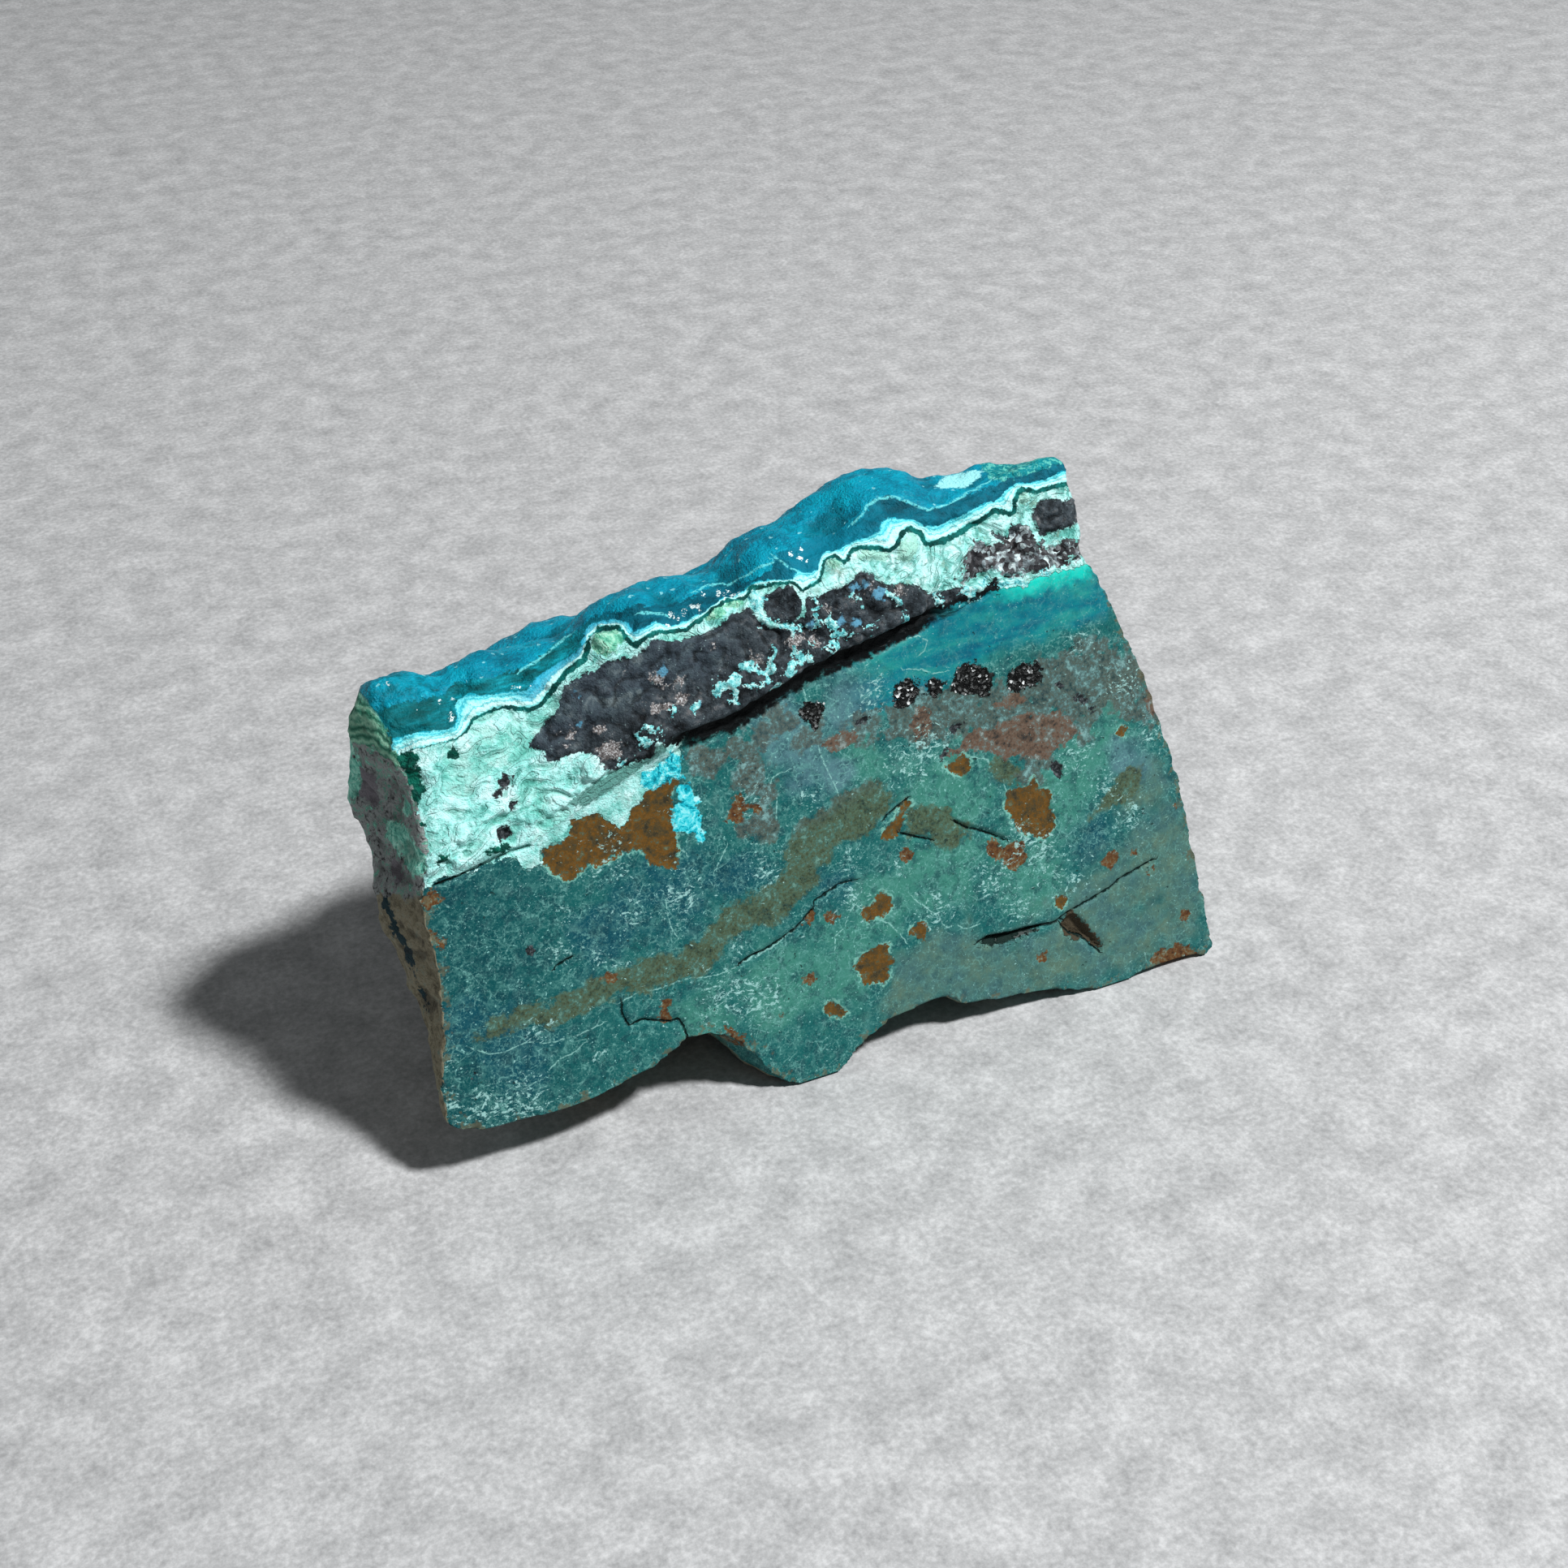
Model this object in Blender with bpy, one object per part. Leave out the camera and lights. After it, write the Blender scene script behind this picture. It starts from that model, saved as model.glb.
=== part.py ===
"""Chrysocolla specimen: one broken chunk of copper ore with a blue crust of round lumps on top.

The front is sawn flat and leans back. Above a crease it gives way to a rougher break, whose
lower lip stands proud of the saw cut. The top is the crust, which falls away to the back.
The ends, the back and the underside are natural breaks, and the stone rests on the flats
of its underside. Lengths are in millimetres until the last step, and the tables are read on
the sawn face: u to the right, v up the face, from the line where the face meets the ground.
"""
import math

import bmesh
import bpy
import numpy as np
from mathutils import Vector, noise

MM = 0.001

# Driving dimensions
FACE_LEAN = math.radians(17.0)
CRUST_FALL = math.radians(32.0)
STONE_DEPTH = 45.0
PRISM_LENGTH = 70.0
BREAK_TILT = math.radians(15.0)
BREAK_FADE = (0.0, 24.0)
RIM = 0.6

# The stone widens to the back at its left end and narrows at its right one, past these places
LEFT_FLARE = 0.30
LEFT_FLARE_BAND = (30.0, 48.0)
RIGHT_TAPER = 0.15
RIGHT_TAPER_BAND = (30.0, 44.0)

# Mesh sizes
COARSE_VOXEL = 1.0
FINE_VOXEL = 0.85
TRIANGLES = 9000
FLAT_BAND = 0.35

# Outline of the front, read round the sawn face
BOTTOM_EDGE = [
    (-50.8, 7.6), (-46.0, 6.8), (-36.0, 6.5), (-30.0, 7.5), (-25.0, 8.0), (-21.5, 10.5),
    (-17.0, 10.3), (-14.0, 7.0), (-11.4, 2.6), (-8.4, 0.1), (-5.5, -0.8), (-2.3, 0.1),
    (0.4, 3.0), (4.0, 4.8), (12.2, 6.0), (15.0, 3.6), (24.0, 2.8), (30.0, 1.4),
    (34.0, -0.3), (37.5, -0.3), (41.0, 0.8), (45.0, 1.1), (49.6, -0.5)]
RIGHT_EDGE = [
    (51.2, 0.8), (50.4, 6.0), (49.4, 14.0), (47.6, 24.0), (45.2, 34.0), (44.4, 38.5),
    (41.4, 46.0), (38.2, 53.0), (36.4, 58.0), (36.4, 64.5)]
TOP_EDGE = [
    (35.8, 69.5), (28.0, 68.4), (20.0, 66.4), (13.0, 66.8), (8.0, 66.4), (2.0, 63.8),
    (-5.0, 61.8), (-12.0, 61.8), (-18.0, 60.4), (-24.0, 61.0), (-29.0, 58.2),
    (-37.0, 57.8), (-44.0, 56.6), (-49.0, 57.4)]
LEFT_EDGE = [
    (-49.6, 54.0), (-48.0, 49.0), (-47.6, 43.0), (-48.8, 35.0), (-48.4, 28.0),
    (-49.0, 21.0), (-50.6, 14.0)]

# Crease between the sawn face and the break above it
CREASE = [
    (-50.0, 37.5), (-35.0, 39.5), (-25.0, 43.5), (-17.0, 45.6), (-10.0, 46.2), (0.0, 49.6),
    (8.0, 51.0), (18.0, 53.5), (25.0, 55.2), (36.0, 55.5)]

# Lip of the break: its height, its share of that along the crease, and where it starts and ends
LIP_HEIGHT = 2.6
LIP_ALONG = [
    (-47.0, 0.0), (-30.0, 0.25), (-20.0, 0.9), (-8.0, 1.0), (6.0, 1.0), (16.0, 0.5), (24.0, 0.0)]
LIP_RISE = (-0.3, 1.6)
LIP_FADE = (1.0, 8.0)

# Line along which the break runs back, so that it keeps its place behind the crease
SETBACK = Vector((0.25, 0.78, -0.58)).normalized()

# Planes where the rock broke: a point on the plane and the way it faces
BREAKS = {
    "underside": ((0.0, 0.0, 0.0), (0.0, 0.0, -1.0)),
    "back": ((0.0, STONE_DEPTH, 30.0), (0.05, 1.0, 0.10)),
    "back foot": ((0.0, 39.0, 0.0), (-0.05, 0.93, -0.36)),
    "back shoulder": ((16.0, 44.5, 33.0), (0.30, 0.88, 0.38)),
    "back hollow": ((-16.0, 43.5, 24.0), (-0.22, 0.96, 0.02)),
    "back right corner": ((46.0, 24.0, 30.0), (0.80, 0.60, 0.06)),
    "back left corner": ((-48.5, 30.0, 46.0), (-0.80, 0.60, 0.10)),
    "lower left corner": ((-50.7, 18.2, 25.2), (-0.68, 0.57, -0.46)),
    "left underside": ((-50.0, 2.0, 7.0), (-0.484, 0.25, -1.0)),
}

# Lumps of the crust: place along the stone, distance behind the top edge, radius and height
FRONT_LUMPS = [
    (-45.5, 6.5, 6.5, 4.2), (-38.0, 7.5, 7.0, 3.5), (-29.5, 8.0, 7.5, 3.2),
    (-19.5, 8.0, 7.5, 3.6), (-10.5, 9.0, 7.0, 3.1), (0.5, 8.5, 8.5, 5.2),
    (7.0, 9.5, 6.5, 4.6), (13.2, 8.5, 7.8, 6.0), (21.0, 7.5, 6.5, 3.4),
    (28.0, 7.0, 5.5, 2.0), (33.5, 7.0, 4.0, 0.8)]
MIDDLE_LUMPS = [
    (-43.0, 16.0, 6.5, 2.2), (-34.0, 19.0, 7.5, 2.0), (-24.0, 18.5, 8.0, 2.6),
    (-14.0, 19.5, 7.5, 2.2), (-5.0, 19.0, 7.5, 2.6), (5.0, 20.0, 8.0, 2.6),
    (14.5, 18.5, 7.5, 2.2), (23.0, 18.5, 7.0, 1.8), (31.0, 17.0, 6.0, 1.4)]
BACK_LUMPS = [
    (-37.0, 28.0, 6.5, 2.4), (-28.0, 28.5, 7.0, 2.6), (-18.5, 29.0, 7.5, 3.0),
    (-9.0, 28.5, 7.0, 2.6), (0.5, 29.0, 7.5, 3.2), (10.0, 28.0, 7.0, 2.8),
    (19.0, 27.5, 6.5, 2.2)]
LUMP_THICKNESS = 0.85

# Small lumps scattered over the crust: the range of each of the same four values
SMALL_LUMPS = 26
LUMP_SEED = 7
SMALL_ALONG = (-46.0, 32.0)
SMALL_BEHIND = (3.0, 32.0)
SMALL_RADIUS = (2.4, 4.0)
SMALL_HEIGHT = 0.25
SMALL_EXTRA_HEIGHT = (0.0, 0.7)

# Roughness of each surface: height and width of each size of bump, and a place in the noise
ROCK_BUMPS = [(1.5, 13.0), (0.7, 5.5), (0.35, 2.8)]
BREAK_BUMPS = [(0.7, 8.0), (0.45, 3.6)]
CRUST_BUMPS = [(0.35, 4.0)]
ROCK_PLACE = Vector((3.0, 0.0, 0.0))
BREAK_PLACE = Vector((11.0, 0.0, 0.0))
CRUST_PLACE = Vector((23.0, 0.0, 0.0))

# Bands over which each surface sets in: by slope, by height above the crease, and by depth
CRUST_SLOPE = (0.55, 0.85)
CRUST_START = (8.0, 13.0)
FACE_SLOPE = (0.80, 0.95)
FACE_REACH = (-1.6, -0.6)
BREAK_START = (-0.5, 1.0)
ROCK_DEPTH = (0.4, 3.5)

FACE_NORMAL = Vector((0.0, -math.cos(FACE_LEAN), math.sin(FACE_LEAN)))
FACE_UP = Vector((0.0, math.sin(FACE_LEAN), math.cos(FACE_LEAN)))
CRUST_RUN = Vector((0.0, math.cos(CRUST_FALL), -math.sin(CRUST_FALL)))
CRUST_NORMAL = Vector((0.0, math.sin(CRUST_FALL), math.cos(CRUST_FALL)))


def face_point(u, v):
    """Point of the sawn plane."""
    return Vector((u, 0.0, 0.0)) + v * FACE_UP


def along(table, u):
    """Value at u of a table of (u, value) pairs."""
    pairs = sorted(table)
    return np.interp(u, [pair[0] for pair in pairs], [pair[1] for pair in pairs])


def ramp(x, band):
    """0 below the band, 1 above it and smooth within it."""
    low, high = band
    t = np.clip((x - low) / (high - low), 0.0, 1.0)
    return t * t * (3.0 - 2.0 * t)


def clear_scene():
    for old in list(bpy.data.objects):
        bpy.data.objects.remove(old, do_unlink=True)


def add_prism(bm):
    """The outline of the face, run back and down along the fall of the crust."""
    outline = BOTTOM_EDGE + RIGHT_EDGE + TOP_EDGE + LEFT_EDGE
    front = [bm.verts.new(face_point(u, v)) for u, v in outline]
    back = []
    for u, v in outline:
        flare = LEFT_FLARE * ramp(-u, LEFT_FLARE_BAND) - RIGHT_TAPER * ramp(u, RIGHT_TAPER_BAND)
        run = CRUST_RUN - Vector((flare, 0.0, 0.0))
        back.append(bm.verts.new(face_point(u, v) + PRISM_LENGTH * run))
    bm.faces.new(front)
    bm.faces.new(list(reversed(back)))
    count = len(outline)
    for i in range(count):
        j = (i + 1) % count
        bm.faces.new((front[j], front[i], back[i], back[j]))


def add_lump(bm, u, behind, radius, height):
    """Add one round lump, sunk in the crust until only its height stands out."""
    top_edge = face_point(u, float(along(TOP_EDGE, u)))
    thickness = LUMP_THICKNESS * radius
    centre = top_edge + behind * CRUST_RUN + (height - thickness) * CRUST_NORMAL
    made = bmesh.ops.create_icosphere(bm, subdivisions=3, radius=1.0)
    for vert in made["verts"]:
        x, y, z = vert.co
        level = Vector((radius * x, 0.0, 0.0)) + radius * y * CRUST_RUN
        vert.co = centre + level + thickness * z * CRUST_NORMAL


def add_small_lumps(bm):
    """Scatter small lumps over the crust."""
    dice = np.random.default_rng(LUMP_SEED)
    for _ in range(SMALL_LUMPS):
        u = dice.uniform(*SMALL_ALONG)
        behind = dice.uniform(*SMALL_BEHIND)
        radius = dice.uniform(*SMALL_RADIUS)
        add_lump(bm, u, behind, radius, SMALL_HEIGHT * radius + dice.uniform(*SMALL_EXTRA_HEIGHT))


def with_modifier(mesh, kind, settings):
    """Mesh that results when one modifier is applied to a mesh."""
    holder = bpy.data.objects.new("holder", mesh)
    bpy.context.scene.collection.objects.link(holder)
    modifier = holder.modifiers.new("change", kind)
    for name, value in settings.items():
        setattr(modifier, name, value)
    graph = bpy.context.evaluated_depsgraph_get()
    result = bpy.data.meshes.new_from_object(holder.evaluated_get(graph))
    bpy.data.objects.remove(holder, do_unlink=True)
    return result


def remeshed(mesh, size):
    return with_modifier(mesh, "REMESH", {"mode": "VOXEL", "voxel_size": size})


def decimated(mesh, triangles):
    now = sum(len(face.vertices) - 2 for face in mesh.polygons)
    return with_modifier(mesh, "DECIMATE", {"ratio": triangles / now, "use_collapse_triangulate": True})


def finished_mesh(bm, name):
    mesh = bpy.data.meshes.new(name)
    bm.to_mesh(mesh)
    bm.free()
    return mesh


def crusted_bar():
    """The run outline with the lumps on its top, longer and deeper than the stone."""
    bm = bmesh.new()
    add_prism(bm)
    for row in (FRONT_LUMPS, MIDDLE_LUMPS, BACK_LUMPS):
        for u, behind, radius, height in row:
            add_lump(bm, u, behind, radius, height)
    add_small_lumps(bm)
    bmesh.ops.recalc_face_normals(bm, faces=bm.faces[:])
    return remeshed(finished_mesh(bm, "crusted_bar"), COARSE_VOXEL)


def break_block():
    """Block bounded by every break plane, and by a wide cube where there is none."""
    bm = bmesh.new()
    bmesh.ops.create_cube(bm, size=4.0 * PRISM_LENGTH)
    for point, normal in BREAKS.values():
        everything = bm.verts[:] + bm.edges[:] + bm.faces[:]
        cut = bmesh.ops.bisect_plane(bm, geom=everything, plane_co=point,
                                     plane_no=Vector(normal).normalized(), clear_outer=True)
        rim = [item for item in cut["geom_cut"] if isinstance(item, bmesh.types.BMEdge)]
        bmesh.ops.edgeloop_fill(bm, edges=rim)
    bmesh.ops.recalc_face_normals(bm, faces=bm.faces[:])
    block = bpy.data.objects.new("break_block", finished_mesh(bm, "break_block"))
    bpy.context.scene.collection.objects.link(block)
    return block


def rough_stone():
    """The bar broken off at its planes, before its surface is worked."""
    block = break_block()
    broken = with_modifier(crusted_bar(), "BOOLEAN", {"operation": "INTERSECT", "object": block})
    bpy.data.objects.remove(block, do_unlink=True)
    return remeshed(broken, FINE_VOXEL)


def read_vectors(mesh, attribute):
    """Places ("co") or outward directions ("normal") of a mesh's vertices, one row each."""
    values = np.empty(3 * len(mesh.vertices), dtype=np.float32)
    mesh.vertices.foreach_get(attribute, values)
    return values.reshape(-1, 3).astype(float)


def write_points(mesh, points):
    mesh.vertices.foreach_set("co", points.astype(np.float32).ravel())
    mesh.update()


def face_coordinates(points):
    """u and v on the sawn plane, and w, the depth behind it."""
    return points[:, 0], points @ np.array(FACE_UP), -(points @ np.array(FACE_NORMAL))


def bumps(points, sizes, place):
    """Sum of noise fields, each with its own height and width."""
    total = np.zeros(len(points))
    for height, width in sizes:
        total += height * np.array([noise.noise(Vector(point) / width + place) for point in points])
    return total


def work_surface(mesh):
    """Roughen what is broken, set the break above the crease and true up the saw cut."""
    points = read_vectors(mesh, "co")
    normals = read_vectors(mesh, "normal")
    u, v, w = face_coordinates(points)
    above = v - along(CREASE, u)

    on_crust = ramp(normals @ np.array(CRUST_NORMAL), CRUST_SLOPE) * ramp(above, CRUST_START)
    on_face = ramp(normals @ np.array(FACE_NORMAL), FACE_SLOPE) * ramp(-w, FACE_REACH)
    on_break = on_face * ramp(above, BREAK_START)
    on_rock = np.clip(1.0 - on_crust - on_face, 0.0, 1.0) * ramp(w, ROCK_DEPTH)

    relief = on_rock * bumps(points, ROCK_BUMPS, ROCK_PLACE)
    relief += on_break * bumps(points, BREAK_BUMPS, BREAK_PLACE)
    relief += on_crust * bumps(points, CRUST_BUMPS, CRUST_PLACE)
    points += relief[:, None] * normals

    lean = math.tan(BREAK_TILT) * np.clip(above, 0.0, None) * (1.0 - ramp(w, BREAK_FADE))
    lip = LIP_HEIGHT * along(LIP_ALONG, u) * ramp(above, LIP_RISE) * (1.0 - ramp(w, LIP_FADE))
    points += (lean - lip)[:, None] * np.array(SETBACK)

    sawn = (above < 0.0) & (w < RIM)
    depth = -(points @ np.array(FACE_NORMAL))
    points[sawn] += depth[sawn, None] * np.array(FACE_NORMAL)
    write_points(mesh, points)


def lay_flat(mesh):
    """Press what nearly touches the ground down to it."""
    points = read_vectors(mesh, "co")
    points[points[:, 2] < FLAT_BAND, 2] = 0.0
    write_points(mesh, points)


def centre_on_ground(mesh):
    """Put the origin under the middle of the stone, and turn millimetres into metres."""
    points = read_vectors(mesh, "co")
    low = points.min(axis=0)
    high = points.max(axis=0)
    points -= np.array(((low[0] + high[0]) / 2.0, (low[1] + high[1]) / 2.0, low[2]))
    write_points(mesh, points * MM)


def stone_material():
    material = bpy.data.materials.new("stone")
    material.use_nodes = True
    shader = material.node_tree.nodes["Principled BSDF"]
    shader.inputs["Base Color"].default_value = (0.05, 0.24, 0.23, 1.0)
    shader.inputs["Roughness"].default_value = 0.55
    shader.inputs["Metallic"].default_value = 0.0
    return material


def build_stone():
    skin = rough_stone()
    work_surface(skin)
    lay_flat(skin)
    mesh = decimated(skin, TRIANGLES)
    lay_flat(mesh)
    centre_on_ground(mesh)
    mesh.name = "chrysocolla_stone"
    mesh.materials.append(stone_material())
    stone = bpy.data.objects.new("chrysocolla_stone", mesh)
    bpy.context.scene.collection.objects.link(stone)
    return stone


clear_scene()
build_stone()
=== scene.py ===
"""Looks of the chrysocolla specimen: a finely worked skin over the solid stone, its colours, the
floor, the light and the camera.

Tables are in millimetres on the sawn front: u to the right and v up the face, from the line where
the face meets the ground. A place on the stone is read there by sliding it forwards along SETBACK.
"""
import math

import bmesh
import bpy
import numpy as np
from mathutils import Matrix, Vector, kdtree, noise


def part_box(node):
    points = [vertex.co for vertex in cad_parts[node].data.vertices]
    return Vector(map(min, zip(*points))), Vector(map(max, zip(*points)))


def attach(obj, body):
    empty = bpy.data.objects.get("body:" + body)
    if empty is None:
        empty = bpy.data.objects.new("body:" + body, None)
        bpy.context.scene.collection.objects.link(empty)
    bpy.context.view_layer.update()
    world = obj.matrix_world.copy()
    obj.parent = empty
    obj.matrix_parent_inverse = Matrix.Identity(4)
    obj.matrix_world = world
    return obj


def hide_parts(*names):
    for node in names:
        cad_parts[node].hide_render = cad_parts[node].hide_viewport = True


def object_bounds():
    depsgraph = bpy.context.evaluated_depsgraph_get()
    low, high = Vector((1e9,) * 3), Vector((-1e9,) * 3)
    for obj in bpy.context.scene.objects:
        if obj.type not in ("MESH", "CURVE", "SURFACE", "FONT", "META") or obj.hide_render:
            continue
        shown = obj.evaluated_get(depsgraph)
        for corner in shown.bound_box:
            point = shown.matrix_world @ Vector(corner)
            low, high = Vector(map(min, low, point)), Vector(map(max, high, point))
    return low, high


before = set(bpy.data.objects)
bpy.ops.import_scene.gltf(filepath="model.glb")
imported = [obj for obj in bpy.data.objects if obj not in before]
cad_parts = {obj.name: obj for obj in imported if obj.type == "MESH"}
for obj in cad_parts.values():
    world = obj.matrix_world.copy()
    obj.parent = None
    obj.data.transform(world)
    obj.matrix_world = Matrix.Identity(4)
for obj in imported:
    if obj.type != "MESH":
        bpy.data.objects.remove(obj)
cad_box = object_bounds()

MM = 0.001
STONE = "chrysocolla_stone"

# The sawn front leans back, and its foot is the stone's foremost line. The crust falls to the back
FACE_LEAN = math.radians(17.0)
CRUST_FALL = math.radians(32.0)
FACE_FOOT = np.array((-0.114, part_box(STONE)[0].y / MM, 0.0))
FACE_NORMAL = np.array((0.0, -math.cos(FACE_LEAN), math.sin(FACE_LEAN)))
FACE_UP = np.array((0.0, math.sin(FACE_LEAN), math.cos(FACE_LEAN)))
CRUST_NORMAL = np.array((0.0, math.sin(CRUST_FALL), math.cos(CRUST_FALL)))
CREASE_SLOPE = math.radians(12.0)
ALONG_CREASE = math.cos(CREASE_SLOPE) * np.array((1.0, 0.0, 0.0)) + math.sin(CREASE_SLOPE) * FACE_UP
SETBACK = np.array(Vector((0.25, 0.78, -0.58)).normalized())

# The skin's mesh, and how far behind the face its finer parts on the front and the top reach
SKIN_VOXEL = 0.94
SMOOTHING_ROUNDS = 4
FRONT_REACH = 9.0
TOP_REACH = 26.0

# The saw cut: how deep the mesh may lie to be trued up, where its broken rim begins, and the
# distance from that rim of all points off the saw cut
SAWN_RIM = 0.75
RIM_DEPTH = 0.35
FAR_FROM_RIM = 10.0

# The largest distance that is kept for a point
FARTHEST = 1000.0

# Relief: how far each thing rises or sinks. Crust lumps are rise, size and place in the noise
STRAND_RISE = 0.22
LOBE_RISE = 0.55
UNDERCUT = 1.5
SPOT_SINK = 0.4
RUST_SINK = 0.14
CRACK_SINK = 0.45
CHIP_SINK = 0.9
GASH_SINK = 0.5
CRUST_LUMPS = [(0.30, 3.2, 61.0), (0.22, 1.5, 67.0), (0.10, 0.8, 69.0)]

# Surface: how close the fold lines are, the grain of the druse, and roughness
FOLD_LINES = 2.4
DRUSE_GRAIN = 0.34
BREAK_ROUGHNESS = 0.62
SAWN_ROUGHNESS = (0.36, 0.52)
CRUST_ROUGHNESS = 0.42
DRUSE_ROUGHNESS = 0.22

# Staging, in metres
STONE_MIDDLE = Vector((0.0, 0.0, 0.03))
CAMERA_DISTANCE = 0.25

# Lines across the front: the crease, then the limits of the bands under the crust, lowest first
CREASE = [
    (-50, 37.5), (-35, 39.5), (-25, 43.5), (-17, 45.6), (-10, 46.2), (0, 49.6), (8, 51), (25, 55.2),
    (36, 55.5)]
GREEN_FOOT = [
    (-80, 46), (-56, 49), (-53, 51.4), (-46.5, 53.2), (-41.8, 53), (-40.5, 53.6), (-39.4, 54.8),
    (-37, 55.3), (-34.8, 54.8), (-33.4, 54.1), (-31.8, 54.3), (-28, 57.3), (-26, 58.2), (-25.3, 59.4),
    (-24.8, 61), (-23.6, 61.7), (-22, 61.3), (-20.8, 58.7), (-20, 58.3), (-18.6, 58.9), (-17, 59.2),
    (-14, 58.8), (-9, 61), (-6.6, 60.9), (-5.6, 61.8), (-3, 61.7), (-1, 61.3), (0, 60), (2.4, 60.8),
    (3.6, 63.2), (4.6, 63.2), (5.4, 62.1), (6.3, 62.5), (7.2, 63.5), (9, 63.2), (11.2, 62.3), (12.4, 62.6),
    (13.4, 63.9), (14.2, 64.3), (15.4, 63.6), (16.2, 62.2), (17.2, 61.9), (18.8, 61.9), (23, 63.1),
    (25.5, 64.1), (27.5, 63.4), (28.5, 63.4), (28.8, 65), (29.4, 66), (30.4, 65.8), (31.4, 65.3),
    (35, 65.5), (70, 65)]
GREEN_WIDTH = [
    (-56, 0.1), (-43, 0.1), (-40, 0.3), (-33, 0.5), (-29, 0.8), (-26, 0.6), (0, 0.4), (12, 0.6), (22, 0.8),
    (30, 0.6)]
STRIPE_TOP = [
    (-80, 46.5), (-56, 49.5), (-53, 51.9), (-50, 53.2), (-48.6, 54.8), (-46, 55), (-43.5, 54.6),
    (-41.8, 54.6), (-41.3, 55.6), (-41.2, 57.4), (-39.8, 58.1), (-38.2, 57.5), (-33.2, 56.6),
    (-30.2, 58.8), (-26.8, 59.9), (-25.2, 62.2), (-24.4, 62.6), (-21.8, 62.5), (-20.6, 61.4), (-20, 60.2),
    (-18.6, 60.3), (-17.4, 60.7), (-16, 60), (-12, 60.5), (-9, 61.8), (-6.4, 62), (-4.8, 62.5), (-3, 62.4),
    (-1, 61.9), (0, 62.6), (1.4, 62.2), (2.3, 62.3), (2.9, 63.8), (3.8, 64.5), (5.4, 64.1), (6.6, 64.6),
    (9, 64.7), (10.5, 65.1), (11, 66.1), (12, 66.6), (15, 65.5), (16.4, 64.6), (18, 64.2), (24.5, 65.6),
    (26.4, 65.8), (27.4, 66.7), (29, 67.2), (31, 66.8), (33, 66.9), (35, 67.4), (70, 67)]
CRUST_FOOT = [
    (-80, 55), (-46, 58.4), (-43, 58.2), (-41, 59.6), (-39, 59), (-36, 58.6), (-33, 59.2), (-30, 60.8),
    (-24, 63.2), (-21, 62.9), (-18, 62.2), (-15, 62.1), (-9.6, 63.6), (-7.2, 62.9), (-4.8, 62.8),
    (-3, 63.6), (-1.8, 65.2), (1, 65.6), (3, 66.2), (7, 66.3), (8.6, 66.9), (10.6, 68.8), (12.6, 69),
    (17.2, 66.2), (19.5, 66.3), (21.5, 66.9), (24, 67.3), (35, 68.4), (70, 68)]

# The dark lens of the break, the lump beside it and the black and granular ends to its right
LENS = [
    [(25, 55.3), (22, 53.7), (18, 53.7), (14, 52.2), (10, 51.8), (5, 50.3), (0, 49.8), (-3, 48.8),
     (-6, 47.4), (-10, 46.2), (-17, 45.8), (-19.5, 47), (-20.5, 45.5), (-25, 44.7), (-26.2, 45.8),
     (-26.5, 47), (-28, 48), (-32.2, 48.1), (-32.5, 49.3), (-33.8, 50.3), (-32.8, 51.6), (-30, 53.6),
     (-29.4, 55.2), (-28.4, 56.3), (-23, 57.9), (-21, 57.3), (-17.5, 58.4), (-14, 58.1), (-11, 58.6),
     (-8, 59.6), (-6.2, 59.7), (-5.6, 58.2), (-4.5, 57.2), (-2.4, 56.6), (-0.2, 57.2), (0.3, 59.4),
     (3.5, 59.4), (6, 60.1), (7.5, 60.9), (8.7, 60.2), (9.6, 59.1), (11.5, 58.4), (13, 58.4), (14.2, 57.8),
     (15.5, 56.5), (17.5, 56.1), (19, 56.6), (22.5, 55.4), (24.6, 56.6)],
    [(-0.2, 58), (-1.4, 56.9), (-3.4, 57), (-4.6, 57.8), (-5, 59), (-4.4, 60.6), (-2.8, 61.4),
     (-1.2, 61.2), (-0.2, 59.8)],
    [(30.2, 61), (29.8, 59.9), (27.4, 60), (26, 60.6), (25.3, 61.2), (25.1, 62), (26.8, 61.1),
     (27.6, 62.5), (28.6, 62.3)],
    [(38, 60.6), (31.2, 60.3), (30.4, 62), (30.6, 63.4), (31.4, 64.2), (38, 64)]]
GRANULAR = [
    [(38, 57), (31.5, 55.6), (29.4, 55.7), (28.5, 56.3), (26.8, 56), (25.4, 56.6), (24.3, 57.5),
     (20, 56.4), (19.3, 57.4), (20.2, 58.2), (20.6, 59.6), (21.6, 60.2), (22.3, 61.5), (24, 60.6),
     (25.2, 60.4), (28, 61.4), (29.4, 61.6), (30.4, 60.6), (30.8, 59.4), (32, 59), (34, 59.2), (38, 59)]]

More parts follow.
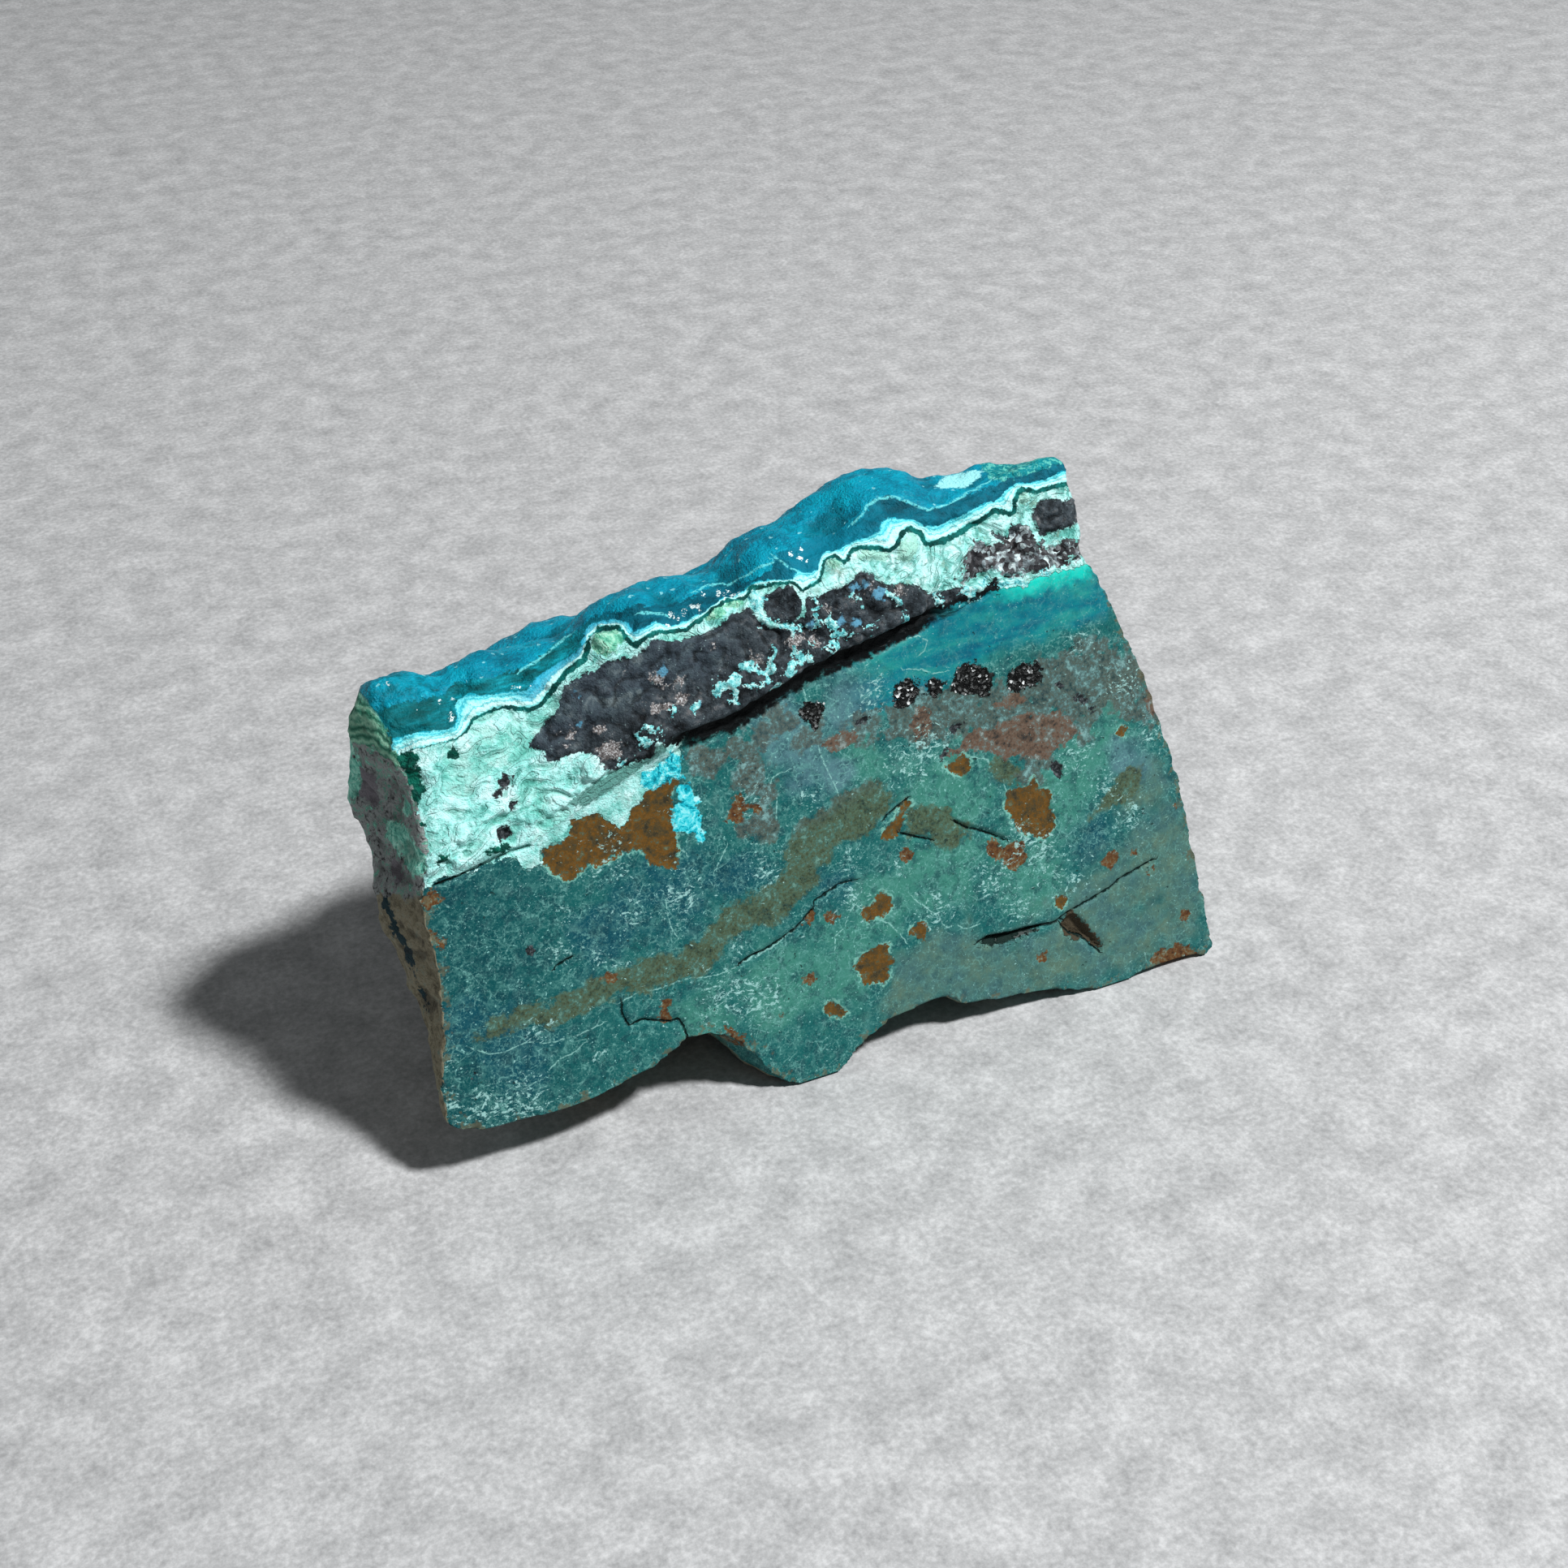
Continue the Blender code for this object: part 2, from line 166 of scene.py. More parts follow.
# Pale zone of the break where it hangs down over the sawn face, and the bright turquoise beside it
PALE_EDGE = [
    (-80, 36), (-49, 37), (-46, 38), (-43, 37.8), (-40, 38.4), (-37.3, 38.2), (-37, 36.5), (-34.9, 36.3),
    (-34.8, 38.2), (-31.2, 38.6), (-30.7, 40.7), (-27.2, 40.8), (-26.9, 39.8), (-25.2, 38.2),
    (-21.6, 41.6), (-17.4, 42.4), (-16.8, 45.6), (-14, 46.4), (-10, 46.7), (0, 50.1), (8, 51.5), (18, 54),
    (22, 54.4), (25, 55.2), (28, 54.4), (30, 55.2), (36, 55.4), (70, 55.4)]
TURQUOISE = [
    [(-22, 42.4), (-20.6, 41.5), (-17, 42.4), (-16.9, 44.7), (-18, 45.5), (-18.9, 44.6), (-21.5, 43.8)],
    [(-15.8, 34.1), (-17, 35.4), (-18.9, 36.2), (-18.8, 38.4), (-17.2, 41.4), (-16.4, 41.5), (-15.9, 40.2),
     (-15.3, 39.7), (-16, 38.2), (-15.2, 35)],
    [(-44, 53.6), (-46, 53), (-48.4, 53.4), (-47.6, 54.4), (-45.6, 54.2)],
    [(-41.3, 56.4), (-40.9, 57.8), (-39.6, 58.4), (-38.6, 57.6), (-39.8, 56.4)],
    [(-18, 60.5), (-19.6, 59.4), (-20.6, 60), (-20.2, 61)]]

# Patches of the sawn face
OCHRE = [
    [(-17.3, 42.6), (-18.6, 40.8), (-19, 33), (-19.3, 31.8), (-20.6, 32), (-22.4, 33.2), (-23, 34.8),
     (-24.5, 35.3), (-26.4, 35.2), (-28.3, 34.4), (-29.5, 35), (-32.2, 33.6), (-32.8, 34.5), (-33.8, 35.3),
     (-34.6, 36.8), (-34.4, 38.6), (-32, 38.4), (-30.6, 41), (-28, 41), (-25.2, 39), (-21.5, 42)],
    [(23.3, 29.8), (26, 29.9), (27, 30.7), (27.6, 29.4), (28.9, 28.6), (29.2, 27.6), (28.8, 26.5),
     (29.4, 25.2), (29.3, 23.6), (28.3, 22.6), (26.8, 22.9), (25.4, 23.6), (24.2, 24.6), (22.8, 28.4)],
    [(5.9, 14.8), (5.2, 14.2), (6.1, 12.5), (5.4, 11.5), (5.3, 10.5), (4.4, 9.9), (3, 10.6), (1.9, 10.5),
     (0.9, 13.4), (1.3, 14.1), (2.4, 14.6), (3.6, 14.6), (5, 15.1)],
    [(-0.8, 7.6), (-1.9, 7.3), (-3, 7.9), (-3.7, 8.8), (-3.1, 9.8), (-2.2, 9.7)],
    [(5.8, 21.9), (6.9, 20.2), (6.3, 19), (5, 18.4), (4.3, 18.9), (3.3, 18.4), (2.5, 19.8), (3, 20.3),
     (4.2, 20.4), (5, 21.8)],
    [(9.5, 14), (9.5, 14.8), (8.7, 15.6), (9, 16.1), (10.2, 16.4), (10.9, 16), (10.9, 15), (10.4, 14.1)],
    [(28.5, 13.5), (28.9, 14.4), (29.8, 14.5), (30.4, 13.8), (30.1, 12.9), (29.2, 12.7)],
    [(15.2, 35.2), (18, 36.2), (18.8, 35), (18.7, 34), (17.6, 33.5), (16.5, 33.9)],
    [(10.8, 31.8), (9.6, 30.4), (9.2, 29), (8.6, 28.3), (7.2, 28), (6.3, 28.5), (6.6, 29.4), (7.8, 30.2),
     (10, 32.3)],
    [(39.1, 33.4), (39.6, 34.2), (40.4, 34), (40.4, 33.2), (39.8, 32.9)]]
RUST = [
    [(-13.3, 36.1), (-12.2, 36.6), (-11.6, 38.2), (-10.4, 38.4), (-9.9, 37.2), (-8.6, 36.9), (-8.1, 36),
     (-8.6, 35.3), (-9.8, 36.3), (-11.6, 35.2), (-12.7, 35.5)],
    [(20.3, 24.1), (21.4, 24), (22, 22.9), (23.2, 23.4), (24.5, 23.2), (25.3, 21.7), (24.7, 20.2),
     (23.6, 19.4), (22.4, 19.8), (21.8, 21.3), (20.6, 21.8), (19.7, 22.8)],
    [(-0.1, 20.3), (-0.9, 19.3), (-1.8, 19.6), (-2.2, 20.4), (-1.6, 21.3), (-0.6, 21.1)],
    [(-28.3, 20.9), (-28.8, 20.4), (-29.8, 20.5), (-30.3, 21.1), (-29.8, 21.7), (-28.8, 21.6)],
    [(-47.2, 37.2), (-46.6, 36.5), (-46.8, 35.2), (-47.8, 34.7), (-48.5, 35.2), (-48.7, 36.5)],
    [(-47.2, 30.2), (-48.4, 31), (-49.6, 31.2), (-48.8, 32.2), (-48, 32.2), (-47, 30.8)],
    [(-23.4, 16.5), (-22.6, 15.7), (-22.9, 13.6), (-23.8, 13.6), (-24.6, 14.2)],
    [(-3.4, 22), (-3.4, 21), (-4.2, 20.5), (-4.8, 20.8)],
    [(-6.2, 13.9), (-5, 14.2), (-4.4, 13.5), (-5, 12.9), (-5.9, 13.1)],
    [(37.8, 17.9), (37.9, 16.6), (36.9, 16), (35.8, 16.5), (35.3, 17.2), (36.4, 18)],
    [(39.1, 17.4), (40.2, 17.9), (41, 17.1), (40.4, 16.6)],
    [(25.7, 7.9), (26.6, 7.4), (26.7, 6.4), (25.8, 6.2), (25.2, 7)],
    [(47, 5.4), (46.2, 6.4), (46.8, 7.3), (47.7, 7), (47.8, 5.9)],
    [(42.8, 13.6), (42.2, 14.4), (42.8, 14.8), (43.2, 14.2)],
    [(9, 26.2), (10, 25.6), (9.6, 24.6), (8.8, 24.4), (8.4, 25.4)],
    [(-10, 9.7), (-9.6, 10.1), (-8.9, 9.8), (-9.2, 9.3)],
    [(-16.4, 10.6), (-15, 9), (-14.2, 8.8), (-14.4, 7.4), (-15.8, 7.9)],
    [(47.2, 22.5), (47.6, 21.6), (46.8, 21.2), (46.4, 22)],
    [(49.5, -0.6), (42, 0.9), (41, 1.9), (43.5, 2.9), (46, 3), (48, 1.6)]]
BROWN = [
    [(15.5, 36.6), (20, 38.8), (22, 38.2), (26.5, 39.4), (28.5, 38.3), (30, 38.2), (31.7, 38.6),
     (31.5, 37.4), (32.5, 36.8), (33.8, 35.4), (33.5, 34.5), (30, 33.4), (29, 32.8), (27.5, 33),
     (25.5, 34), (23.5, 34), (20.5, 35.9), (18.5, 36.2), (16.5, 35.8)],
    [(13, 44), (13.8, 42.4), (14.2, 40.2), (13.6, 39.4), (12, 39.2), (11, 41), (12.3, 42.6)],
    [(0.4, 41.7), (1.6, 42.4), (3.4, 42.4), (4.8, 41.8), (4.6, 40.8), (3, 40.6), (1.2, 40.9)],
    [(23, 41), (25, 42), (27, 41.5), (26.8, 40.4), (24.5, 39.8)],
    [(43.8, 37.8), (44.8, 37.6), (45, 35.6), (44.2, 34.6), (43.4, 35.2), (43.4, 36.4)]]
OLIVE = [
    [(-46, 18.6), (-43.5, 20), (-38, 20.4), (-35, 20), (-24, 22), (-21, 21.3), (-18, 22), (-16.5, 23.6),
     (-14.5, 24.6), (-13.5, 25.8), (-8, 26.4), (-6.5, 28), (-6, 30), (-3.5, 33.6), (-1, 33.7), (0.5, 34.6),
     (3.5, 35.7), (6, 35.9), (8, 34.8), (8.5, 33.2), (7.5, 31.7), (3.8, 29.2), (1.5, 28.9), (-2.5, 26.8),
     (-2.8, 25), (-6.5, 22.8), (-8.5, 21.9), (-11, 22.9), (-12.8, 22), (-14.5, 20.4), (-16.5, 19.5),
     (-18, 18.3), (-22, 18), (-29, 18.3), (-34, 17), (-37.5, 17), (-39.5, 18.2), (-42, 18), (-44, 17.3),
     (-45.7, 17.6)],
    [(33.6, 23.3), (38, 26.8), (40, 28.8), (42, 28.3), (42.8, 26.6), (41.4, 25), (39.5, 24.2), (37, 24.2),
     (35, 23.4)],
    [(-10.5, 43.5), (-12.3, 42.3), (-13.5, 41), (-15.3, 42), (-16.6, 43.3), (-16.5, 44.5), (-15, 45.5),
     (-11.3, 44.8)],
    [(-8, 42.6), (-6.4, 41), (-7.1, 36.5), (-6.7, 34), (-6.8, 32.3), (-9, 31.9), (-10.5, 32.8),
     (-11.6, 34.4), (-8.4, 37.5), (-11.2, 39.4), (-11.6, 40.6), (-10, 42.4)],
    [(18.2, 25.4), (16, 24.6), (13.4, 25.2), (12.5, 26.8), (10.5, 28), (9.2, 29.5), (10.5, 31), (13, 30.9),
     (15, 29.8), (15.8, 28.2), (17.6, 27)],
    [(25, 31.4), (23.6, 31.6), (22.2, 32.2), (21.6, 34), (22.4, 34.6), (25.4, 33)]]
NODULES = [
    [(-0.8, 43.8), (-1, 45), (-2, 46.2), (-1.6, 47.1), (-0.6, 47.5), (0.7, 46.9), (1.1, 46), (0.2, 45.3),
     (-0.2, 43.8)],
    [(13.4, 45.4), (12.8, 44.4), (11.2, 43.6), (10.2, 44.2), (10, 45.2), (10.3, 46.6), (11.5, 47),
     (12.7, 46.5)],
    [(13.8, 45), (14.3, 46), (15.4, 46.3), (16.2, 45.6), (16, 44.5), (15, 43.9)],
    [(17.4, 44.2), (17.8, 45.6), (18.6, 46.8), (20.5, 47), (22.7, 45.3), (22.8, 43.8), (21.8, 42.7),
     (18.5, 43.4)],
    [(29.6, 43.9), (29.3, 42.6), (25.8, 42.1), (25, 42.8), (24.9, 43.8), (25.6, 44.8), (27.3, 45.1),
     (28.8, 44.9)]]
DARK_SPOTS = [
    [(18.4, 40), (18.2, 39), (17, 38.8), (16.4, 39.6), (17, 40.2)],
    [(29, 31.4), (30.4, 32), (31.1, 30.6), (30.7, 29.5)],
    [(16.2, 37.5), (15.4, 35.9), (14.5, 35.9), (15.5, 37.1)],
    [(31.8, 42), (32, 41.2), (31.2, 41), (31, 41.8)],
    [(33.6, 39.6), (34.8, 39.8), (36, 37.4), (35.6, 37.2)],
    [(6.8, 43.6), (5.8, 42.8), (4.8, 43.2), (5.6, 44)],
    [(-38, 26.9), (-37.6, 27.2), (-36.8, 26.4), (-37.2, 26)],
    [(-47, 14.2), (-46.2, 14.6), (-46, 13.9), (-46.6, 13.7)],
    [(-38.6, 45.7), (-38, 47), (-37.2, 47.7), (-36.4, 47.4), (-36, 45.8), (-37, 46.3)],
    [(-37.4, 43), (-37, 44.6), (-36.2, 44.5), (-36.6, 43.6)],
    [(-39, 42.3), (-38, 42), (-37.2, 41), (-37.8, 40.2), (-39, 40.3), (-39.3, 41.4)]]
GLASSY = [
    [(-47, 46.6), (-48.6, 47), (-51, 50), (-48.8, 52.8), (-46.6, 53.2), (-45.8, 52.3), (-46.5, 50.6),
     (-46.2, 48.4)],
    [(-40.8, 39.6), (-39.5, 40.2), (-38, 39.8), (-37.3, 39.3), (-39, 38.9)],
    [(-46.4, 44.3), (-47, 44), (-47.4, 44.6), (-46.8, 44.9)],
    [(-42.2, 52.3), (-41.9, 51.8), (-42.4, 51.1), (-42.8, 51.4)],
    [(-44.4, 40.6), (-44.8, 39.9), (-46, 39.8), (-45.6, 40.5)]]
LOBES = [
    [(-21.4, 60.2), (-21.8, 59.2), (-22.5, 58.5), (-23.5, 58.2), (-24.4, 58.6), (-24.9, 59.8),
     (-24.5, 60.9), (-23.6, 61.4), (-22.3, 61)],
    [(-9.2, 60), (-10.2, 59.3), (-11.4, 59.2), (-11.8, 60), (-11, 61), (-9.8, 61)],
    [(-8.9, 60.6), (-8.3, 61.5), (-7.2, 61.4), (-6.8, 60.6), (-7.6, 60.1)],
    [(5.4, 62.4), (4.8, 62.1), (3.6, 62.6), (3.9, 63.2), (4.7, 63.2)],
    [(11.2, 62.2), (10.6, 61.7), (7.2, 62.2), (6.8, 62.9), (8, 63.3), (10, 62.9)],
    [(13.8, 64.2), (15, 63.6), (15.4, 62.2), (14.6, 60.8), (13.2, 60.6), (12.4, 61.2), (12.2, 62.4),
     (12.8, 63.6)],
    [(29, 65), (29.6, 66), (30.4, 65.8), (30.8, 65), (30, 64.4)]]

# Pale patch and streaky part of the crust, far right
PALE_TOP = [
    [(26, 69.8), (25, 68.8), (23.2, 68.2), (21, 68.3), (18.8, 69), (21.2, 70.3)]]
STREAKY_TOP = [
    [(60, 75), (27, 75), (25.6, 69.6), (26.4, 68.4), (28, 67.6), (60, 67.6)]]

# Places on the crest of the crust that stand higher: u, v, radius and rise
CREST_LIFTS = [
    (-50, 60.5, 3, 1.2), (-37, 61.8, 3, 1.4), (-18.5, 65, 3.2, 1.5), (-15, 65, 2, 0.4)]

# The wide part of the long crack, the chip beside it, and the smooth slope under the lens in painted shade
GASHES = [
    [(27, 11.4), (26, 10.9), (22.4, 10.3), (19.6, 10.4), (17.4, 11), (19, 11.9), (24, 11.4)]]
CHIP = [
    [(34.8, 6), (34, 5.6), (32.4, 7.4), (30.8, 8.1), (29.4, 9.4), (29, 10.8), (30, 11.5), (31.2, 11.8)]]
SHADED_SLOPE = [
    [(-31, 42.6), (-27.6, 44.2), (-21.6, 45.6), (-20, 46.8), (-18.6, 46.9), (-18.6, 45.8), (-25, 43.2),
     (-28.6, 42)]]

# The left end: its green bands, turquoise, charcoal and dark vein
END_GREEN = [
    [(-56, 60), (-52, 61.5), (-48, 58), (-46, 52.6), (-48.3, 51.6), (-50, 52.8), (-51.6, 55), (-56, 56.4)]]
END_TURQUOISE = [
    [(-49, 38.4), (-51.8, 44), (-51.4, 46.2), (-49.6, 45.4), (-46.6, 40)],
    [(-56, 49), (-56, 56.4), (-53.9, 56.4), (-53.2, 52.4), (-53.6, 50)],
    [(-48.2, 46), (-49.2, 46.4), (-49.4, 48.4), (-48.6, 48)]]
END_CHARCOAL = [
    [(-53.4, 52.6), (-52, 51.4), (-51.8, 48.6), (-52.6, 47.6), (-54.2, 49.6)],
    [(-51.2, 38.8), (-52, 40), (-51.8, 41.6), (-50.6, 41.4), (-50.2, 39.6)]]
END_VEIN = [
    (0.35, [(-53.2, 36.8), (-52.6, 33), (-51.8, 31), (-50.9, 26), (-50.7, 23.4)])]

# Strands of pale mineral over the lens: half-width, then the points they run through
STRANDS = [
    (0.55, [(-5.4, 48.4), (-4.2, 49.6), (-2.4, 52), (-0.6, 52.2)]),
    (0.4, [(-3.2, 51.4), (-2, 53), (-0.4, 53.6)]),
    (0.35, [(-11.8, 51.2), (-11.2, 52.1), (-10.3, 51.9), (-9.6, 51.2)]),
    (0.38, [(-9.6, 51.2), (-8, 53), (-7, 52.4), (-5.8, 52)]),
    (0.25, [(-5.8, 52), (-5.9, 51), (-6.6, 50.3), (-9, 51)]),
    (0.3, [(-10.7, 49.7), (-9.9, 49.6), (-9.3, 50.6)]),
    (0.35, [(-14.5, 49.7), (-13.9, 50.4), (-13.4, 50.1)]),
    (0.28, [(-17.4, 49.6), (-17, 50.2)]),
    (0.32, [(-4.9, 52), (-4.6, 53.4), (-3.9, 54.5)]),
    (0.5, [(-5.6, 61.6), (-5.2, 58.6), (-4.6, 57.7)]),
    (0.42, [(-4.4, 57.4), (-2.4, 56.3), (-1.2, 56.1)]),
    (0.2, [(-20.5, 47.1), (-19.6, 47.2), (-19.1, 48.4), (-19.3, 49.1)]),
    (0.2, [(-21.9, 48.7), (-21.3, 47.6), (-22.5, 46.2), (-24.2, 45.4)]),
    (0.25, [(-21.8, 48.5), (-20.7, 49.2), (-20, 48.8)]),
    (0.28, [(1.2, 59.2), (1.7, 58.2), (1.1, 57.3), (1.3, 56.2)]),
    (0.28, [(2.8, 56.3), (3.3, 55.3), (3.1, 54.4), (5, 53.9), (6.5, 54), (7.2, 53.5), (8.3, 54.5),
            (9.2, 54.9)]),
    (0.38, [(1.8, 52.8), (2.6, 52.3), (3, 53)]),
    (0.25, [(6, 58.6), (6.9, 57.7), (7.2, 56.7)]),
    (0.25, [(10.6, 57.4), (12.1, 55.6), (12.4, 53.9)]),
    (0.15, [(16.2, 56.1), (17.2, 54.2)]),
    (0.6, [(19.9, 55.5), (20.8, 55.3), (23.4, 56.4)]),
    (0.28, [(18.4, 54), (22.3, 53.8)]),
    (0.32, [(25.2, 55.6), (26.5, 55.4), (28.4, 54.5), (29.5, 55.3), (31.5, 55.5)])]

# Cracks and white veins of the sawn face and the lines in the crust, as thin lines
CRACKS = [
    [(-28.3, 17.4), (-28.4, 15.6), (-27.8, 14.2), (-26.2, 14.6), (-22.8, 13.2), (-21.9, 13.4),
     (-21.4, 12.2), (-21.1, 10.6)],
    [(17.4, 11.4), (19, 11.7), (22, 11.2), (24, 11.3), (28.4, 11), (30, 11.7), (36.6, 13.4), (38, 14.2),
     (43, 15.4)],
    [(29.2, 10.4), (30.4, 8.8), (32.2, 7.8), (33.2, 6.4), (34.2, 5.4)],
    [(-13.4, 17.9), (-12, 18.4), (-10, 18.7), (-7.4, 19.6), (-5.2, 20.6), (-3.6, 22)],
    [(-3, 23), (0.4, 24.2), (2.2, 24.1)],
    [(16, 28), (17.6, 26.6), (19.4, 25.8), (22.4, 23.8)],
    [(7, 30.8), (10, 32.3)],
    [(-46.8, 37.4), (-44, 37.7), (-38, 38.9), (-35.8, 39)],
    [(8.8, 28.4), (11, 27.2), (12.6, 26.6)],
    [(-43.8, 38.6), (-42.9, 39.1)],
    [(-35.2, 24), (-33.4, 24.6)]]
VEINS = [
    [(-28.3, 17.6), (-26, 18.1), (-23.6, 17.8), (-20.4, 18.1), (-17.6, 17.5), (-15.6, 17.4), (-9.2, 18.7),
     (-5, 20.6)],
    [(-1.2, 48.8), (0, 40), (1.4, 35.8), (2.2, 32), (3.4, 29.4)],
    [(-1.3, 16.4), (-1.2, 17.8), (0.2, 18.6), (1, 20.4), (2, 21.2)],
    [(2.6, 20.4), (3.6, 20), (4.4, 18.6), (6, 17.4), (7.4, 15.4), (8, 14.2)],
    [(-46.4, 17.4), (-44.4, 16), (-42.6, 15.7), (-40, 16.2), (-37.6, 15.2), (-34, 15.1), (-31, 15.6)],
    [(-38, 12), (-36.4, 12.9), (-34.8, 13.1), (-33.6, 13.9)],
    [(-41, 10.6), (-39.4, 11)],
    [(9.4, 19.8), (12.4, 16.6), (13.4, 14.8), (14.2, 14.7)],
    [(15.2, 14.4), (16, 13.8), (17.6, 13.9)],
    [(23, 38.5), (28, 40.3)],
    [(18.2, 35.8), (21.2, 34.6), (21.3, 33.4)],
    [(22.9, 32), (23.2, 30)],
    [(11.4, 51.6), (13.8, 51.8), (14.8, 51), (14.4, 49.8), (13.4, 49.4)],
    [(11.6, 48.2), (13.8, 47.7), (15.2, 46.8), (16.8, 46.8)],
    [(-11.8, 34.4), (-10, 32.2), (-8.8, 31.8), (-7.2, 32)],
    [(-6.6, 34.4), (-6.2, 36.8), (-7, 38.4), (-6.3, 39.6), (-4.4, 39.8)],
    [(-18.8, 36), (-18.8, 34.4), (-18, 33.2)],
    [(-21.2, 28), (-21.3, 26), (-20.9, 24.2), (-20.4, 23.2)],
    [(-14.8, 30.2), (-13.2, 32.6)]]
CRUST_LINES = [
    [(-33.6, 58.8), (-27, 62)],
    [(7.6, 66.7), (9, 67.3), (10, 68.5), (11.5, 69), (13.4, 68.7), (17, 66.3), (20, 66.5), (24, 67.5),
     (26, 68.2)],
    [(-2.3, 65), (-1.1, 63.4), (0, 62.6)],
    [(-8.4, 63.2), (-6, 63.5), (-4.2, 64.1), (-2.6, 64.3)],
    [(-19, 61.8), (-16, 61.1)],
    [(-12, 63.2), (-10.4, 63.7), (-8.6, 63.5)]]

# Spots: u, v and radius
PINK_SPOTS = [
    (-29.9, 50.5, 0.9), (-25.8, 50.3, 0.45), (-18.5, 54.3, 0.8), (-18, 53.3, 0.5), (-16.3, 53.2, 0.5),
    (-19.2, 50.8, 0.8), (-17.8, 51, 0.7), (-15.8, 51.2, 0.7), (-25.8, 47.6, 1.1), (-24.6, 47.2, 0.7),
    (-6.3, 53.6, 0.6), (-1.6, 54.6, 1.1), (0.6, 54, 0.8), (8, 58.4, 0.8), (11.8, 57.5, 0.9),
    (21.2, 58.6, 1), (26.6, 58.9, 0.9), (24, 57.6, 0.5), (2.4, 57.6, 0.7), (29.4, 58, 0.5),
    (-11.4, 56.8, 0.5), (-21.6, 55.8, 0.5)]
BLUE_SPOTS = [
    (6.3, 59.2, 0.55), (7.6, 59.2, 0.45), (9, 57.6, 0.8), (9.6, 57, 0.4), (6, 54.8, 0.45),
    (-17.6, 55.1, 0.45), (-13.9, 50.2, 0.5), (23.8, 59.6, 0.6), (-27.7, 51.5, 0.3), (4.2, 55.6, 0.4),
    (0.6, 56.4, 0.3), (-27.4, 55, 0.3)]
# Glint spots are painted highlights on the crust.
GLINT_SPOTS = [
    (-15.5, 61.1, 0.3), (-14, 61.2, 0.28), (-13.1, 61.8, 0.32), (-12.3, 61.6, 0.36), (-12.2, 60.8, 0.2),
    (-9.4, 62.8, 0.34), (-8.4, 62.6, 0.24), (-8, 62, 0.3), (-7.2, 61.8, 0.26), (-16.1, 60.1, 0.24),
    (-0.4, 64.9, 0.3), (0.6, 64.3, 0.34), (1, 65.2, 0.24), (1.3, 63.8, 0.22), (-34.6, 57.3, 0.22),
    (-33.9, 57.2, 0.2), (-32.8, 57, 0.16), (-48.2, 60.2, 0.2), (-42, 55.6, 0.34), (-41.6, 58, 0.22),
    (-43, 57.9, 0.2), (-45.6, 57.4, 0.18), (-41.9, 56.2, 0.2), (-9, 61.6, 0.2), (-11.2, 62.9, 0.22),
    (-14.8, 60.7, 0.18)]
BLUE_CLOUDS = [
    (-46, 20, 5), (-40, 14, 4.5), (-22, 29, 6), (-12, 29, 4), (-5, 45.5, 4), (-2, 38.5, 3.5),
    (34, 21, 4.5), (-30, 26, 4), (0, 24, 3)]
GREEN_CLOUDS = [
    (16, 32, 7), (-2, 13, 6.5), (6, 20, 5), (30, 28, 5), (-10, 14, 5.5), (38, 33, 6), (26, 18, 6),
    (14, 22, 5), (4, 39, 4), (-19, 13, 3.5)]
MISTY_CLOUDS = [
    (-5, 45, 4), (-2, 40.5, 3.5), (4, 46, 4), (11, 48.5, 3), (2, 37.5, 2.5), (40, 30, 3.5)]
DUSTY_CLOUDS = [
    (-1, 43.5, 2.2), (6, 42.6, 2.4), (11.4, 42.6, 2.6), (16, 42, 3), (21, 41.2, 3.4), (26.4, 41, 3.2),
    (31, 41.4, 3.4), (36, 42, 4), (41, 39.6, 3.6), (43.6, 36, 3), (33.6, 36, 2.6), (27, 32, 2.4),
    (12.6, 41.4, 2.4), (-9, 43.6, 2.4), (-4.6, 46.2, 1.8)]
GREY_CLOUDS = [
    (44, 8, 8), (22, 5, 6.5), (36, 12, 6), (9, 7, 6), (44, 18, 5), (41, 40, 4.5), (33, 6, 6), (14, 10, 5),
    (42, 26, 4)]
FLECK_CLUSTERS = [
    (-38.5, 17, 2), (-46, 9.6, 3), (-41, 8.6, 3.2), (-27.6, 22, 1.4), (-13.4, 20.6, 1.4), (-19, 28.2, 3.2),
    (-25.6, 27.6, 2), (-16, 14.4, 4), (12.6, 17.4, 3), (20, 19, 3.2), (27, 21, 3.2), (31, 16, 2.6),
    (8.6, 24, 1.6), (10.6, 36.6, 3.2), (-1.8, 36, 1.8), (23.6, 14.2, 2.6), (-34.4, 25.6, 2),
    (2, 21.8, 2.4), (-29.2, 34, 1.4), (14, 38.4, 2.6), (-10.6, 12.4, 2.6), (40, 22.4, 3), (33, 31.6, 2.6),
    (40.6, 40, 3), (7, 46, 3), (-33, 29.8, 1.4), (-50, 11.6, 1.6), (-8.6, 28.6, 2.4), (35, 46, 2.4),
    (-30, 24, 1.2), (-32.2, 12, 1.2), (-49, 16.6, 1.4), (1.6, 26.8, 2), (24.6, 24.2, 1.6),
    (-9.4, 37.6, 1.8), (-26.6, 36.8, 1.8), (-26, 33, 1.4), (36.6, 27, 2), (44, 32, 2.4)]


def ramp(x, low, high):
    """0 below low, 1 above high and smooth between them."""
    t = np.clip((x - low) / (high - low), 0.0, 1.0)
    return t * t * (3.0 - 2.0 * t)


def between(x, start, full, fading, end):
    """1 from full to fading, and 0 before start and after end."""
    return ramp(x, start, full) * ramp(-x, -end, -fading)


def along(table, u):
    """Value at u of a line across the front."""
    return np.interp(u, [point[0] for point in table], [point[1] for point in table])


